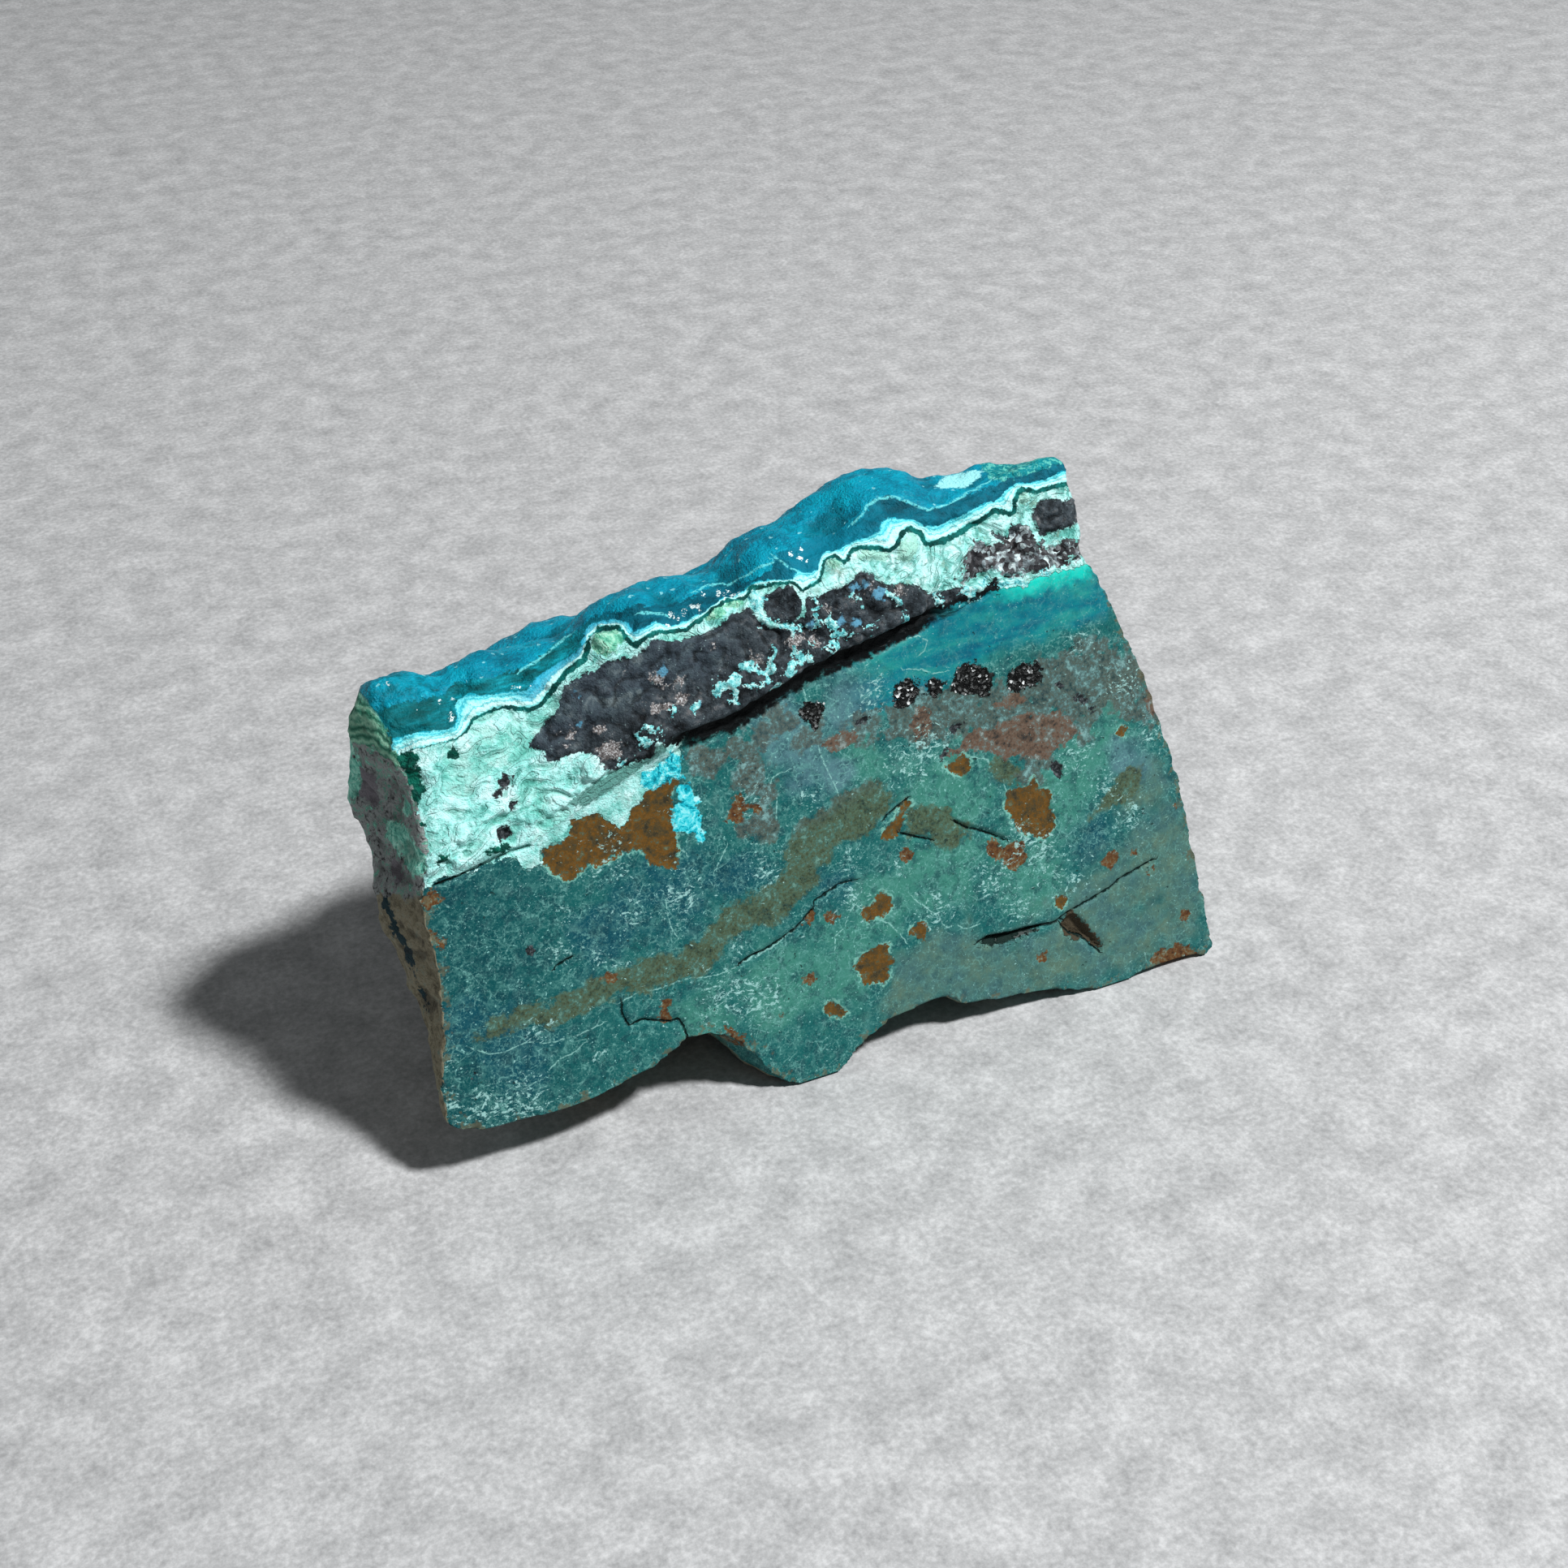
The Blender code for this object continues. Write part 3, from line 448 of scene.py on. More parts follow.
def to_segment(spots, start, end):
    """Distance from each spot to one segment, and the side that the spot is on."""
    run = np.subtract(end, start)
    from_start = spots - start
    share = np.clip((from_start @ run) / (run @ run), 0.0, 1.0)
    distance = np.hypot(*(from_start - share[:, None] * run).T)
    side = np.sign(run[0] * from_start[:, 1] - run[1] * from_start[:, 0])
    return distance, np.where(side == 0.0, 1.0, side)


def to_line(spots, line):
    """Distance from each spot to a line of points, and the side of its nearest segment."""
    nearest = np.full(len(spots), np.inf)
    side = np.ones(len(spots))
    for start, end in zip(line, line[1:]):
        distance, segment_side = to_segment(spots, start, end)
        closer = distance < nearest
        nearest = np.where(closer, distance, nearest)
        side = np.where(closer, segment_side, side)
    return nearest, side


def inside(spots, outline):
    """Which spots lie inside a closed outline."""
    crossings = np.zeros(len(spots), dtype=bool)
    for (u0, v0), (u1, v1) in zip(outline, outline[1:] + outline[:1]):
        if v0 == v1:
            continue
        straddles = (spots[:, 1] < v0) != (spots[:, 1] < v1)
        crossings ^= straddles & (spots[:, 0] < u0 + (spots[:, 1] - v0) * (u1 - u0) / (v1 - v0))
    return crossings


def above_line(spots, line):
    """Distance to a line across the front, above it positive."""
    distance, _ = to_line(spots, line)
    return np.where(spots[:, 1] > along(line, spots[:, 0]), distance, -distance)


def in_outline(spots, outline):
    """Distance to the edge of a closed outline, inside it positive."""
    distance, _ = to_line(spots, outline + outline[:1])
    return np.where(inside(spots, outline), distance, -distance)


def in_strand(spots, strand):
    """Distance to the edge of a strand, inside it positive."""
    half_width, line = strand
    return half_width - to_line(spots, line)[0]


def in_spot(spots, spot):
    """Distance to the rim of a round spot, inside it positive."""
    u, v, radius = spot
    return radius - np.hypot(spots[:, 0] - u, spots[:, 1] - v)


def in_clouds(spots, clouds):
    """How deep each spot lies in soft round clouds, 0 to 1."""
    depth = np.zeros(len(spots))
    for u, v, radius in clouds:
        depth += np.exp(-((spots[:, 0] - u) ** 2 + (spots[:, 1] - v) ** 2) / radius ** 2)
    return np.clip(depth, 0.0, 1.0)


def near_thin_lines(spots, lines):
    """Signed distance to the nearest of several thin lines, and the plain distance."""
    signed = np.full(len(spots), np.inf)
    plain = np.full(len(spots), np.inf)
    for line in lines:
        distance, side = to_line(spots, line)
        closer = distance < plain
        signed = np.where(closer, distance * side, signed)
        plain = np.minimum(plain, distance)
    return signed, plain


def grain(points, size, place, octaves=1):
    """Smooth noise at each point, about -1 to 1, with bumps of one size."""
    shift = Vector((place, 0.0, 0.0))
    if octaves == 1:
        return np.array([noise.noise(Vector(point) / size + shift) for point in points])
    return np.array([noise.fractal(Vector(point) / size + shift, 0.6, 2.1, octaves) for point in points])


def cells(points, size, place):
    """How far each point is from the middle of its grain, in grain sizes."""
    shift = Vector((place, 0.0, 0.0))
    return np.array([noise.voronoi(Vector(point) / size + shift)[0][0] for point in points])


class Skin:
    """The worked surface: points in millimetres from the foot of the face, and their spots on the front."""

    def __init__(self, mesh):
        self.mesh = mesh
        self.read()

    def read(self):
        count = len(self.mesh.vertices)
        points = np.empty(3 * count, dtype=np.float32)
        normals = np.empty(3 * count, dtype=np.float32)
        self.mesh.vertices.foreach_get("co", points)
        self.mesh.vertices.foreach_get("normal", normals)
        self.points = points.reshape(-1, 3).astype(float) / MM - FACE_FOOT
        self.normals = normals.reshape(-1, 3).astype(float)
        self.depth = -(self.points @ FACE_NORMAL)
        slide = self.depth / -(SETBACK @ FACE_NORMAL)
        on_face = self.points - slide[:, None] * SETBACK
        self.spots = np.column_stack((on_face[:, 0], on_face @ FACE_UP))

    def write(self):
        moved = (self.points + FACE_FOOT) * MM
        self.mesh.vertices.foreach_set("co", moved.astype(np.float32).ravel())
        self.mesh.update()

    def store(self, name, values):
        attribute = self.mesh.attributes.new(name, "FLOAT", "POINT")
        attribute.data.foreach_set("value", np.clip(values, -FARTHEST, FARTHEST).astype(np.float32))


def with_modifiers(mesh, steps):
    """Mesh that results when modifiers are applied to a mesh."""
    holder = bpy.data.objects.new("holder", mesh)
    bpy.context.scene.collection.objects.link(holder)
    for kind, settings in steps:
        modifier = holder.modifiers.new("change", kind)
        for name, value in settings.items():
            setattr(modifier, name, value)
    graph = bpy.context.evaluated_depsgraph_get()
    result = bpy.data.meshes.new_from_object(holder.evaluated_get(graph))
    bpy.data.objects.remove(holder, do_unlink=True)
    return result


def above_crease(skin):
    """How far up the face each spot lies from the crease."""
    return skin.spots[:, 1] - along(CREASE, skin.spots[:, 0])


def true_up(skin):
    """Bring the saw cut back to its plane."""
    sawn = (above_crease(skin) < -0.2) & (skin.depth < SAWN_RIM) & (skin.normals @ FACE_NORMAL > 0.1)
    skin.points[sawn] += skin.depth[sawn, None] * FACE_NORMAL
    skin.write()
    skin.read()


def refine(skin, wanted, share):
    """Cut in four each face whose corners are wanted, on their mean, by more than a share."""
    chosen = [wanted[list(face.vertices)].mean() > share for face in skin.mesh.polygons]
    bm = bmesh.new()
    bm.from_mesh(skin.mesh)
    bm.faces.ensure_lookup_table()
    edges = {edge for index in np.flatnonzero(chosen) for edge in bm.faces[index].edges}
    bmesh.ops.subdivide_edges(bm, edges=list(edges), cuts=1, use_grid_fill=True)
    bm.to_mesh(skin.mesh)
    bm.free()
    skin.read()


def fine_skin():
    """The solid stone with its facets smoothed away, finest on the break and the bands."""
    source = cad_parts[STONE].data.copy()
    skin = Skin(with_modifiers(source, [
        ("REMESH", {"mode": "VOXEL", "voxel_size": SKIN_VOXEL * MM}),
        ("SMOOTH", {"factor": 0.5, "iterations": SMOOTHING_ROUNDS})]))
    true_up(skin)
    facing = ramp(skin.normals @ FACE_NORMAL, 0.35, 0.5) * (skin.depth < FRONT_REACH)
    top = (skin.normals @ CRUST_NORMAL > 0.5) * (skin.depth < TOP_REACH)
    refine(skin, np.maximum(facing, top), 0.5)
    below_crust = skin.spots[:, 1] < along(CRUST_FOOT, skin.spots[:, 0]) + 1.0
    broken = (above_crease(skin) > -0.8) & (skin.normals @ FACE_NORMAL > 0.3) & below_crust
    refine(skin, broken.astype(float), 0.6)
    true_up(skin)
    return skin


def from_rim(skin, above):
    """Distance from each point of the saw cut to the broken rim round it."""
    rim = skin.points[(skin.depth > RIM_DEPTH) & (skin.depth < 1.6) & (above < -1.0)]
    tree = kdtree.KDTree(len(rim))
    for index, point in enumerate(rim):
        tree.insert(point, index)
    tree.balance()
    far = np.full(len(skin.points), FAR_FROM_RIM)
    for index in np.flatnonzero((skin.depth < RIM_DEPTH) & (above < -1.0)):
        far[index] = tree.find(skin.points[index])[2]
    return far


def survey(skin):
    """Where each thing lies on the skin: distances in millimetres, and shares from 0 to 1."""
    spots = skin.spots
    found = {}
    limits = {"above_crease": CREASE, "pale_zone": PALE_EDGE, "green_band": GREEN_FOOT,
              "deep_band": STRIPE_TOP, "crust": CRUST_FOOT}
    for name, line in limits.items():
        found[name] = above_line(spots, line)
    found["stripes"] = found["green_band"] - along(GREEN_WIDTH, spots[:, 0])
    outlines = {"lens": LENS, "granular": GRANULAR, "turquoise": TURQUOISE, "ochre": OCHRE, "rust": RUST,
                "brown": BROWN, "olive": OLIVE, "nodules": NODULES, "glassy": GLASSY, "lobes": LOBES,
                "pale_top": PALE_TOP, "chip": CHIP, "gash": GASHES, "slope": SHADED_SLOPE, "dark_spots": DARK_SPOTS,
                "end_green": END_GREEN, "end_turquoise": END_TURQUOISE, "end_charcoal": END_CHARCOAL,
                "streaky": STREAKY_TOP}
    strands = {"end_vein": END_VEIN, "strands": STRANDS}
    rounds = {"pink_spots": PINK_SPOTS, "blue_spots": BLUE_SPOTS, "spark_spots": GLINT_SPOTS}
    for measure, tables in [(in_outline, outlines), (in_strand, strands), (in_spot, rounds)]:
        for name, shapes in tables.items():
            found[name] = np.max([measure(spots, shape) for shape in shapes], axis=0)
    clouds = {"flecks": FLECK_CLUSTERS, "blue_clouds": BLUE_CLOUDS, "green_clouds": GREEN_CLOUDS,
              "grey_clouds": GREY_CLOUDS, "misty_clouds": MISTY_CLOUDS, "dusty_clouds": DUSTY_CLOUDS}
    for name, table in clouds.items():
        found[name] = in_clouds(spots, table)
    for name, lines in {"crack": CRACKS, "vein": VEINS, "line": CRUST_LINES}.items():
        found[name + "_side"], found[name] = near_thin_lines(spots, lines)
    return found


def sort_sides(skin, found):
    """How far each point belongs to the saw cut, the left end, the front and the top, 0 to 1."""
    above = found["above_crease"]
    facing = skin.normals @ FACE_NORMAL
    upward = skin.normals @ CRUST_NORMAL
    leftward = -skin.normals[:, 0]
    found["rim"] = from_rim(skin, above)
    found["sawn"] = ramp(-skin.depth, -0.5, -0.1) * ramp(facing, 0.6, 0.9) * (above < 0.0)
    found["left_end"] = ramp(-skin.points[:, 0], 44.5, 46.5) * ramp(leftward, 0.45, 0.65)
    not_left = 1.0 - found["left_end"]
    cut_edge = (above < -0.4) * ramp(-skin.depth, -1.8, -1.2)
    in_break = (above > 0.0) * ramp(-skin.depth, -9.0, -7.0) * ramp(-np.abs(leftward), -0.8, -0.6)
    fading = ramp(-skin.depth, -24.0, -18.0) * not_left
    found["front"] = np.maximum(ramp(facing, 0.15, 0.55), np.maximum(cut_edge, in_break)) * fading
    found["fore"] = np.maximum(found["front"], ramp(upward, 0.10, 0.35) * fading)
    found["top"] = ramp(upward, 0.30, 0.55) * ramp(found["crust"], -1.0, 0.5) * not_left


def in_lens(found):
    """1 on the dark lens and its granular part."""
    return ramp(np.maximum(found["lens"], found["granular"]), -0.1, 0.5) * found["front"]


def raise_lens(skin, found, relief):
    """Lumps of the dark lens, higher to the right, with crumbs between them."""
    u = skin.spots[:, 0]
    lens = in_lens(found)
    here = lens > 0.0
    points = skin.points[here]
    coarse = np.clip(ramp(found["granular"], -0.5, 0.5) + 0.35 * ramp(u, -10.0, 0.0) + 0.15, 0.0, 1.0)
    lumps = np.abs(grain(points, 3.0, 5.0)) * 1.1 + np.abs(grain(points, 1.3, 9.0)) * 0.4
    lumps *= 0.65 + 0.35 * ramp(u[here], -12.0, -2.0)
    crumbs = cells(points, 0.8, 13.0) * coarse[here] * 0.7
    relief[here] += lens[here] * (lumps - crumbs - 0.15)


def fold_pale_zone(skin, found, relief):
    """Folds of the pale mineral, drawn out along the crease and stepped like terraces."""
    pale = ramp(found["above_crease"], 0.0, 1.0) * ramp(-found["crust"], -0.5, 1.0)
    pale *= found["front"] * (1.0 - in_lens(found)) * (1.0 - 0.8 * ramp(found["slope"], -0.3, 0.3))
    here = pale > 0.0
    points = skin.points[here]
    swirl = points - 0.5 * (points @ ALONG_CREASE)[:, None] * ALONG_CREASE
    swirl += 2.0 * np.column_stack([grain(points, 3.6, place) for place in (31.0, 37.0, 41.0)])
    folds = grain(swirl, 3.0, 43.0, 3)
    terraces = 1.1 * folds + 0.35 * np.abs(np.mod(folds * FOLD_LINES, 1.0) - 0.5)
    calm = 0.45 + 0.35 * ramp(-found["above_crease"], -7.0, -3.0)
    relief[here] += (pale * calm)[here] * (terraces - 0.25)
    found["folds"] = np.zeros(len(relief))
    found["folds"][here] = folds


def detail_break(skin, found, relief):
    """Raised strands and lobes, the undercut over the crease, sunk spots and the sparkling nodules."""
    above = found["above_crease"]
    front = found["front"]
    near_front = front > 0.01
    relief += STRAND_RISE * ramp(found["strands"], -0.1, 0.2) * front * ramp(above, 0.0, 0.5)
    undercut = np.exp(-((above - 0.7) / 0.8) ** 2) * between(skin.spots[:, 0], -19.0, -15.0, 14.0, 19.0)
    relief -= UNDERCUT * undercut * front
    relief += LOBE_RISE * ramp(found["lobes"], -0.2, 0.9) * front
    relief -= SPOT_SINK * ramp(found["dark_spots"], -0.1, 0.4) * near_front
    druse = ramp(found["nodules"], -0.1, 0.4) * near_front
    here = druse > 0.0
    relief[here] += druse[here] * (0.30 - 0.75 * cells(skin.points[here], 0.75, 53.0))


def detail_saw_cut(skin, found, relief):
    """Slightly sunk rusty patches, the cracks, the chip and the gash."""
    rusty = ramp(np.maximum(found["ochre"], found["rust"]), -0.1, 0.3)
    width = 0.22 + 0.12 * between(skin.spots[:, 0], 16.0, 19.0, 23.0, 27.0)
    cracked = 1.0 - ramp(found["crack"], 0.4 * width, 1.6 * width)
    chipped = ramp(found["chip"], -0.1, 0.7)
    gashed = ramp(found["gash"], -0.1, 0.25)
    for sink, share in [(RUST_SINK, rusty), (CRACK_SINK, cracked), (CHIP_SINK, chipped), (GASH_SINK, gashed)]:
        relief -= sink * found["sawn"] * share


def raise_crust(skin, found, relief):
    """Small lumps of the crust, larger to the left, and the higher places on its crest."""
    u, v = skin.spots.T
    top = found["top"]
    here = top > 0.0
    domes = np.zeros(np.count_nonzero(here))
    for rise, size, place in CRUST_LUMPS:
        domes += rise * grain(skin.points[here], size, place)
    domes *= 1.0 + 0.9 * ramp(-u[here], 34.0, 44.0)
    relief[here] += top[here] * (domes + 0.25)
    for lift_u, lift_v, radius, rise in CREST_LIFTS:
        from_lift = np.hypot(u - lift_u, v - lift_v)
        relief += rise * np.exp(-((from_lift / radius) ** 2)) * ramp(found["deep_band"], -0.5, 1.5)


def ledge_rock(skin, found, relief):
    """Ledges of the rough ends and back, none at the foot."""
    rock = np.clip(1.0 - found["front"] - found["top"], 0.0, 1.0) * ramp(skin.depth, 0.3, 2.5)
    rock *= ramp(skin.points[:, 2], 0.1, 1.2)
    here = rock > 0.0
    points = skin.points[here]
    ledges = np.abs(grain(points * (0.5, 0.5, 1.0), 3.6, 71.0))
    relief[here] += rock[here] * (0.9 * ledges + 0.5 * np.abs(grain(points, 1.8, 73.0)) - 0.3)


def work(skin, found):
    """Raise and sink the surface where the stone's parts differ, within the solid's box."""
    relief = np.zeros(len(skin.points))
    for step in (raise_lens, fold_pale_zone, detail_break, detail_saw_cut, raise_crust, ledge_rock):
        step(skin, found, relief)
    skin.points += relief[:, None] * skin.normals
    lowest, highest = (np.array(corner) / MM - FACE_FOOT for corner in cad_box)
    skin.points = np.clip(skin.points, lowest, highest)
    skin.write()
    skin.read()


def linear(colour):
    """Linear colour of an 8-bit red, green and blue, with alpha 1."""
    shares = np.array(colour) / 255.0
    line = np.where(shares <= 0.04045, shares / 12.92, ((shares + 0.055) / 1.055) ** 2.4)
    return (*(float(share) for share in line), 1.0)


class Value:
    """What a node hands on. Sums, products and mixtures of it are nodes too."""

    def __init__(self, paint, socket):
        self.paint = paint
        self.socket = socket

    def __add__(self, other):
        return self.paint.math("ADD", self, other)

    def __sub__(self, other):
        return self.paint.math("SUBTRACT", self, other)

    def __rsub__(self, other):
        return self.paint.math("SUBTRACT", other, self)

    def __mul__(self, other):
        return self.paint.math("MULTIPLY", self, other)

    def __truediv__(self, other):
        return self.paint.math("DIVIDE", self, other)

    def __abs__(self):
        return self.paint.math("ABSOLUTE", self)

    def least(self, other):
        return self.paint.math("MINIMUM", self, other)

    def most(self, other):
        return self.paint.math("MAXIMUM", self, other)

    def layers(self):
        """Up to 0.5 and down to 0, over and over, as the value grows."""
        return self.paint.math("PINGPONG", self, 0.5)

    def rise(self, low, high):
        """0 below low, 1 above high and smooth between them."""
        inputs = {"Value": self, "From Min": low, "From Max": high}
        return self.paint.add("ShaderNodeMapRange", "Result", inputs, interpolation_type="SMOOTHSTEP")

    def fall(self, low, high):
        """1 below low, 0 above high and smooth between them."""
        return 1.0 - self.rise(low, high)

    def between(self, start, full, fading, end):
        """1 from full to fading, and 0 before start and after end."""
        return self.rise(start, full) * self.fall(fading, end)

    def colours(self, *stops):
        """Colours along the value. Each stop is a value from 0 to 1, then red, green and blue."""
        node = self.paint.node("ShaderNodeValToRGB", {"Fac": self})
        elements = node.color_ramp.elements
        elements[0].position, elements[0].color = stops[0][0], linear(stops[0][1:])
        elements[1].position, elements[1].color = stops[-1][0], linear(stops[-1][1:])
        for position, *colour in stops[1:-1]:
            elements.new(position).color = linear(colour)
        return Value(self.paint, node.outputs["Color"])

    def under(self, share, colour):
        """This colour with another laid over it by a share."""
        return self.paint.mix(share, self, colour)


class Paint:
    """One material, built step by step. Colours in it are 8-bit red, green and blue."""

    def __init__(self, name):
        self.material = bpy.data.materials.new(name)
        self.material.use_nodes = True
        self.tree = self.material.node_tree
        self.shader = self.tree.nodes["Principled BSDF"]
        self.place = self.scaled(self.add("ShaderNodeTexCoord", "Object"), 1.0 / MM)

    def node(self, kind, inputs=None, **settings):
        node = self.tree.nodes.new(kind)
        for name, value in settings.items():
            setattr(node, name, value)
        for key, value in (inputs or {}).items():
            self.feed(node.inputs[key], value)
        return node

    def add(self, kind, output, inputs=None, **settings):
        return Value(self, self.node(kind, inputs, **settings).outputs[output])

    def feed(self, socket, value):
        if isinstance(value, Value):
            self.tree.links.new(value.socket, socket)
        elif socket.type == "RGBA":
            socket.default_value = linear(value)
        else:
            socket.default_value = value

    def vector_math(self, operation, inputs):
        return self.add("ShaderNodeVectorMath", "Vector", inputs, operation=operation)

    def scaled(self, vector, scale):
        return self.vector_math("SCALE", {"Vector": vector, "Scale": scale})

    def moved(self, vector, by):
        return self.vector_math("ADD", {0: vector, 1: by})

    def stretched(self, vector, by):
        return self.vector_math("MULTIPLY", {0: vector, 1: by})

    def field(self, name):
        """What the survey found under a name."""
        return self.add("ShaderNodeAttribute", "Fac", attribute_name=name, attribute_type="GEOMETRY")

    def noise(self, size, detail=2.0, rough=0.55, at=None, output="Fac"):
        """Noise of a size in millimetres, 0 to 1."""
        inputs = {"Vector": at or self.place, "Scale": 1.0 / size, "Detail": detail, "Roughness": rough}
        return self.add("ShaderNodeTexNoise", output, inputs)

    def wobble(self, amount, size, detail=2.0):
        """Noise about zero, in millimetres."""
        return (self.noise(size, detail) - 0.5) * amount

    def cells(self, size, at=None, output="Distance", feature="F1"):
        """How far each place is from the middle of its cell, or from its edge."""
        inputs = {"Vector": at or self.place, "Scale": 1.0 / size}
        return self.add("ShaderNodeTexVoronoi", output, inputs, feature=feature)

    def cell_shades(self, size, at=None):
        """One chance value for each cell, 0 to 1."""
        return self.add("ShaderNodeSeparateColor", "Red", {0: self.cells(size, at, "Color")})

    def math(self, operation, a, b=0.0):
        return self.add("ShaderNodeMath", "Value", {0: a, 1: b}, operation=operation)

    def mix(self, share, a, b):
        """Mix of two colours."""
        return self.add("ShaderNodeMix", 2, {0: share, 6: a, 7: b}, data_type="RGBA")

    def blend(self, share, a, b):
        """Mix of two numbers."""
        return self.add("ShaderNodeMix", 0, {0: share, 2: a, 3: b}, data_type="FLOAT")


class StonePaint(Paint):
    """The stone's material, with the noises and places that several of its parts share."""

    def __init__(self):
        super().__init__("stone_surface")
        self.swirled = self.moved(self.place, self.scaled(self.noise(3.2, output="Color"), 3.0))
        self.ruffled = self.moved(self.place, self.scaled(self.noise(2.6, 1.0, output="Color"), 0.9))
        self.medium = self.noise(1.8, 4.0, 0.6, self.swirled)
        self.fine = self.noise(0.42, 3.0, 0.65)
        self.speck = self.noise(0.2, 2.0, 0.6)
        self.grains = self.noise(0.3, 2.0, 0.7).rise(0.40, 0.56)
        crumble = self.wobble(1.5, 0.5) + self.wobble(0.5, 0.18, 1.0)
        self.edge = self.wobble(2.4, 1.7) + crumble
        self.thin_edge = self.wobble(0.9, 1.1) + crumble * 0.5
        self.across = self.add("ShaderNodeSeparateXYZ", "X", {0: self.place})
        self.above = self.field("above_crease")
        self.left_end = self.field("left_end")
        self.crevice = self.field("crevice")
        self.cracks = self.thin_line("crack", 0.03, 0.19, 0.5) * self.medium.rise(0.32, 0.42)
        self.fold_layers = (self.field("folds") * FOLD_LINES + self.wobble(0.5, 0.5, 3.0)).layers()
        self.on_saw_cut = 1.0 - self.patch("pale_zone", self.edge * 0.7, 0.08)
        self.nodules = self.patch("nodules", self.edge * 0.8 + 0.12, 0.1)
        reach = self.field("top").most(self.field("front")).rise(0.3, 0.5)
        self.on_crust = self.patch("crust", self.thin_edge, 0.08) * reach

    def patch(self, name, wobble=None, soft=0.12):
        """1 inside the outlines of a name and 0 outside, with a crumbling edge."""
        return (self.field(name) + (wobble or self.edge)).rise(-soft, soft)

    def thin_line(self, name, core, rim, sway):
        """1 along the thin lines of a name."""
        side = abs(self.field(name + "_side") + self.wobble(sway, 0.7, 3.0))
        return side.fall(core, rim) * self.field(name).fall(0.5, 0.8)

    def turquoise(self):
        """Bright turquoise with paler and deeper swirls."""
        return self.noise(0.8, 5.0, 0.75, self.swirled).colours(
            (0.36, 0, 112, 132), (0.43, 0, 168, 188), (0.50, 50, 208, 222), (0.57, 116, 232, 240),
            (0.66, 190, 246, 248))


def sawn_ground(paint):
    """Teal ground of the saw cut: clouds, a bright strip under the crease, mottling, crackle and veins."""
    across = paint.across
    ground = paint.mix(across.rise(-46.0, -26.0), (6, 78, 82), (20, 96, 95))
    worn = paint.noise(4.0, 5.0, 0.7).colours((0.36, 62, 102, 104), (0.5, 74, 112, 104), (0.64, 88, 116, 100))
    for name, colour in [("blue_clouds", (8, 76, 90)), ("green_clouds", (58, 128, 114)),
                         ("grey_clouds", worn), ("misty_clouds", (80, 122, 130))]:
        cloud = paint.field(name) + paint.wobble(2.0, 3.6, 4.0)
        ground = ground.under(cloud.rise(0.2, 1.0), colour)
    drift = paint.noise(2.6, 3.0, 0.6, paint.stretched(paint.place, (0.4, 1.0, 1.3)))
    upper = (paint.above + paint.wobble(4.0, 4.0, 3.0)).rise(-9.0, -6.5) * across.rise(2.0, 10.0)
    ground = ground.under(upper, drift.colours((0.34, 0, 90, 116), (0.5, 4, 122, 134), (0.66, 34, 144, 140)))
    glow = (paint.above + paint.wobble(2.4, 1.5)).rise(-2.6, -0.8)
    ground = ground.under(glow * 0.88 * across.rise(22.0, 28.0), (20, 214, 196))

    dull = paint.blend(upper, 1.0, 0.4) * (1.0 - paint.field("grey_clouds") * 0.45)
    light = paint.noise(1.3, 5.0, 0.75, paint.ruffled).rise(0.47, 0.66)
    dark = paint.noise(1.6, 5.0, 0.75, paint.moved(paint.ruffled, (19.0, 0.0, 0.0))).rise(0.47, 0.64)
    frost = paint.noise(0.24, 2.0, 0.7).rise(0.50, 0.74)
    for mottling, share, colour in [(light, 0.36, (96, 160, 152)), (dark, 0.62, (8, 56, 68)),
                                    (frost, 0.22, (120, 184, 176))]:
        ground = ground.under(mottling * share * dull, colour)
    broken_up = paint.medium.rise(0.41, 0.58) * dull
    for size, width, share in [(1.2, 0.10, 0.44), (0.6, 0.12, 0.24)]:
        web = paint.cells(size, paint.ruffled, feature="DISTANCE_TO_EDGE").fall(0.0, width) * paint.grains
        ground = ground.under(web * broken_up * share, (128, 192, 184))
    veins = paint.thin_line("vein", 0.02, 0.13, 0.5)
    ground = ground.under(veins * 0.7 * paint.fine.rise(0.40, 0.52), (150, 206, 198))
    dots = paint.noise(0.4, 2.0, 0.6, paint.moved(paint.place, (0.0, 90.0, 0.0))).rise(0.67, 0.72)
    return ground.under(dots * 0.7 * dull, (150, 212, 206))


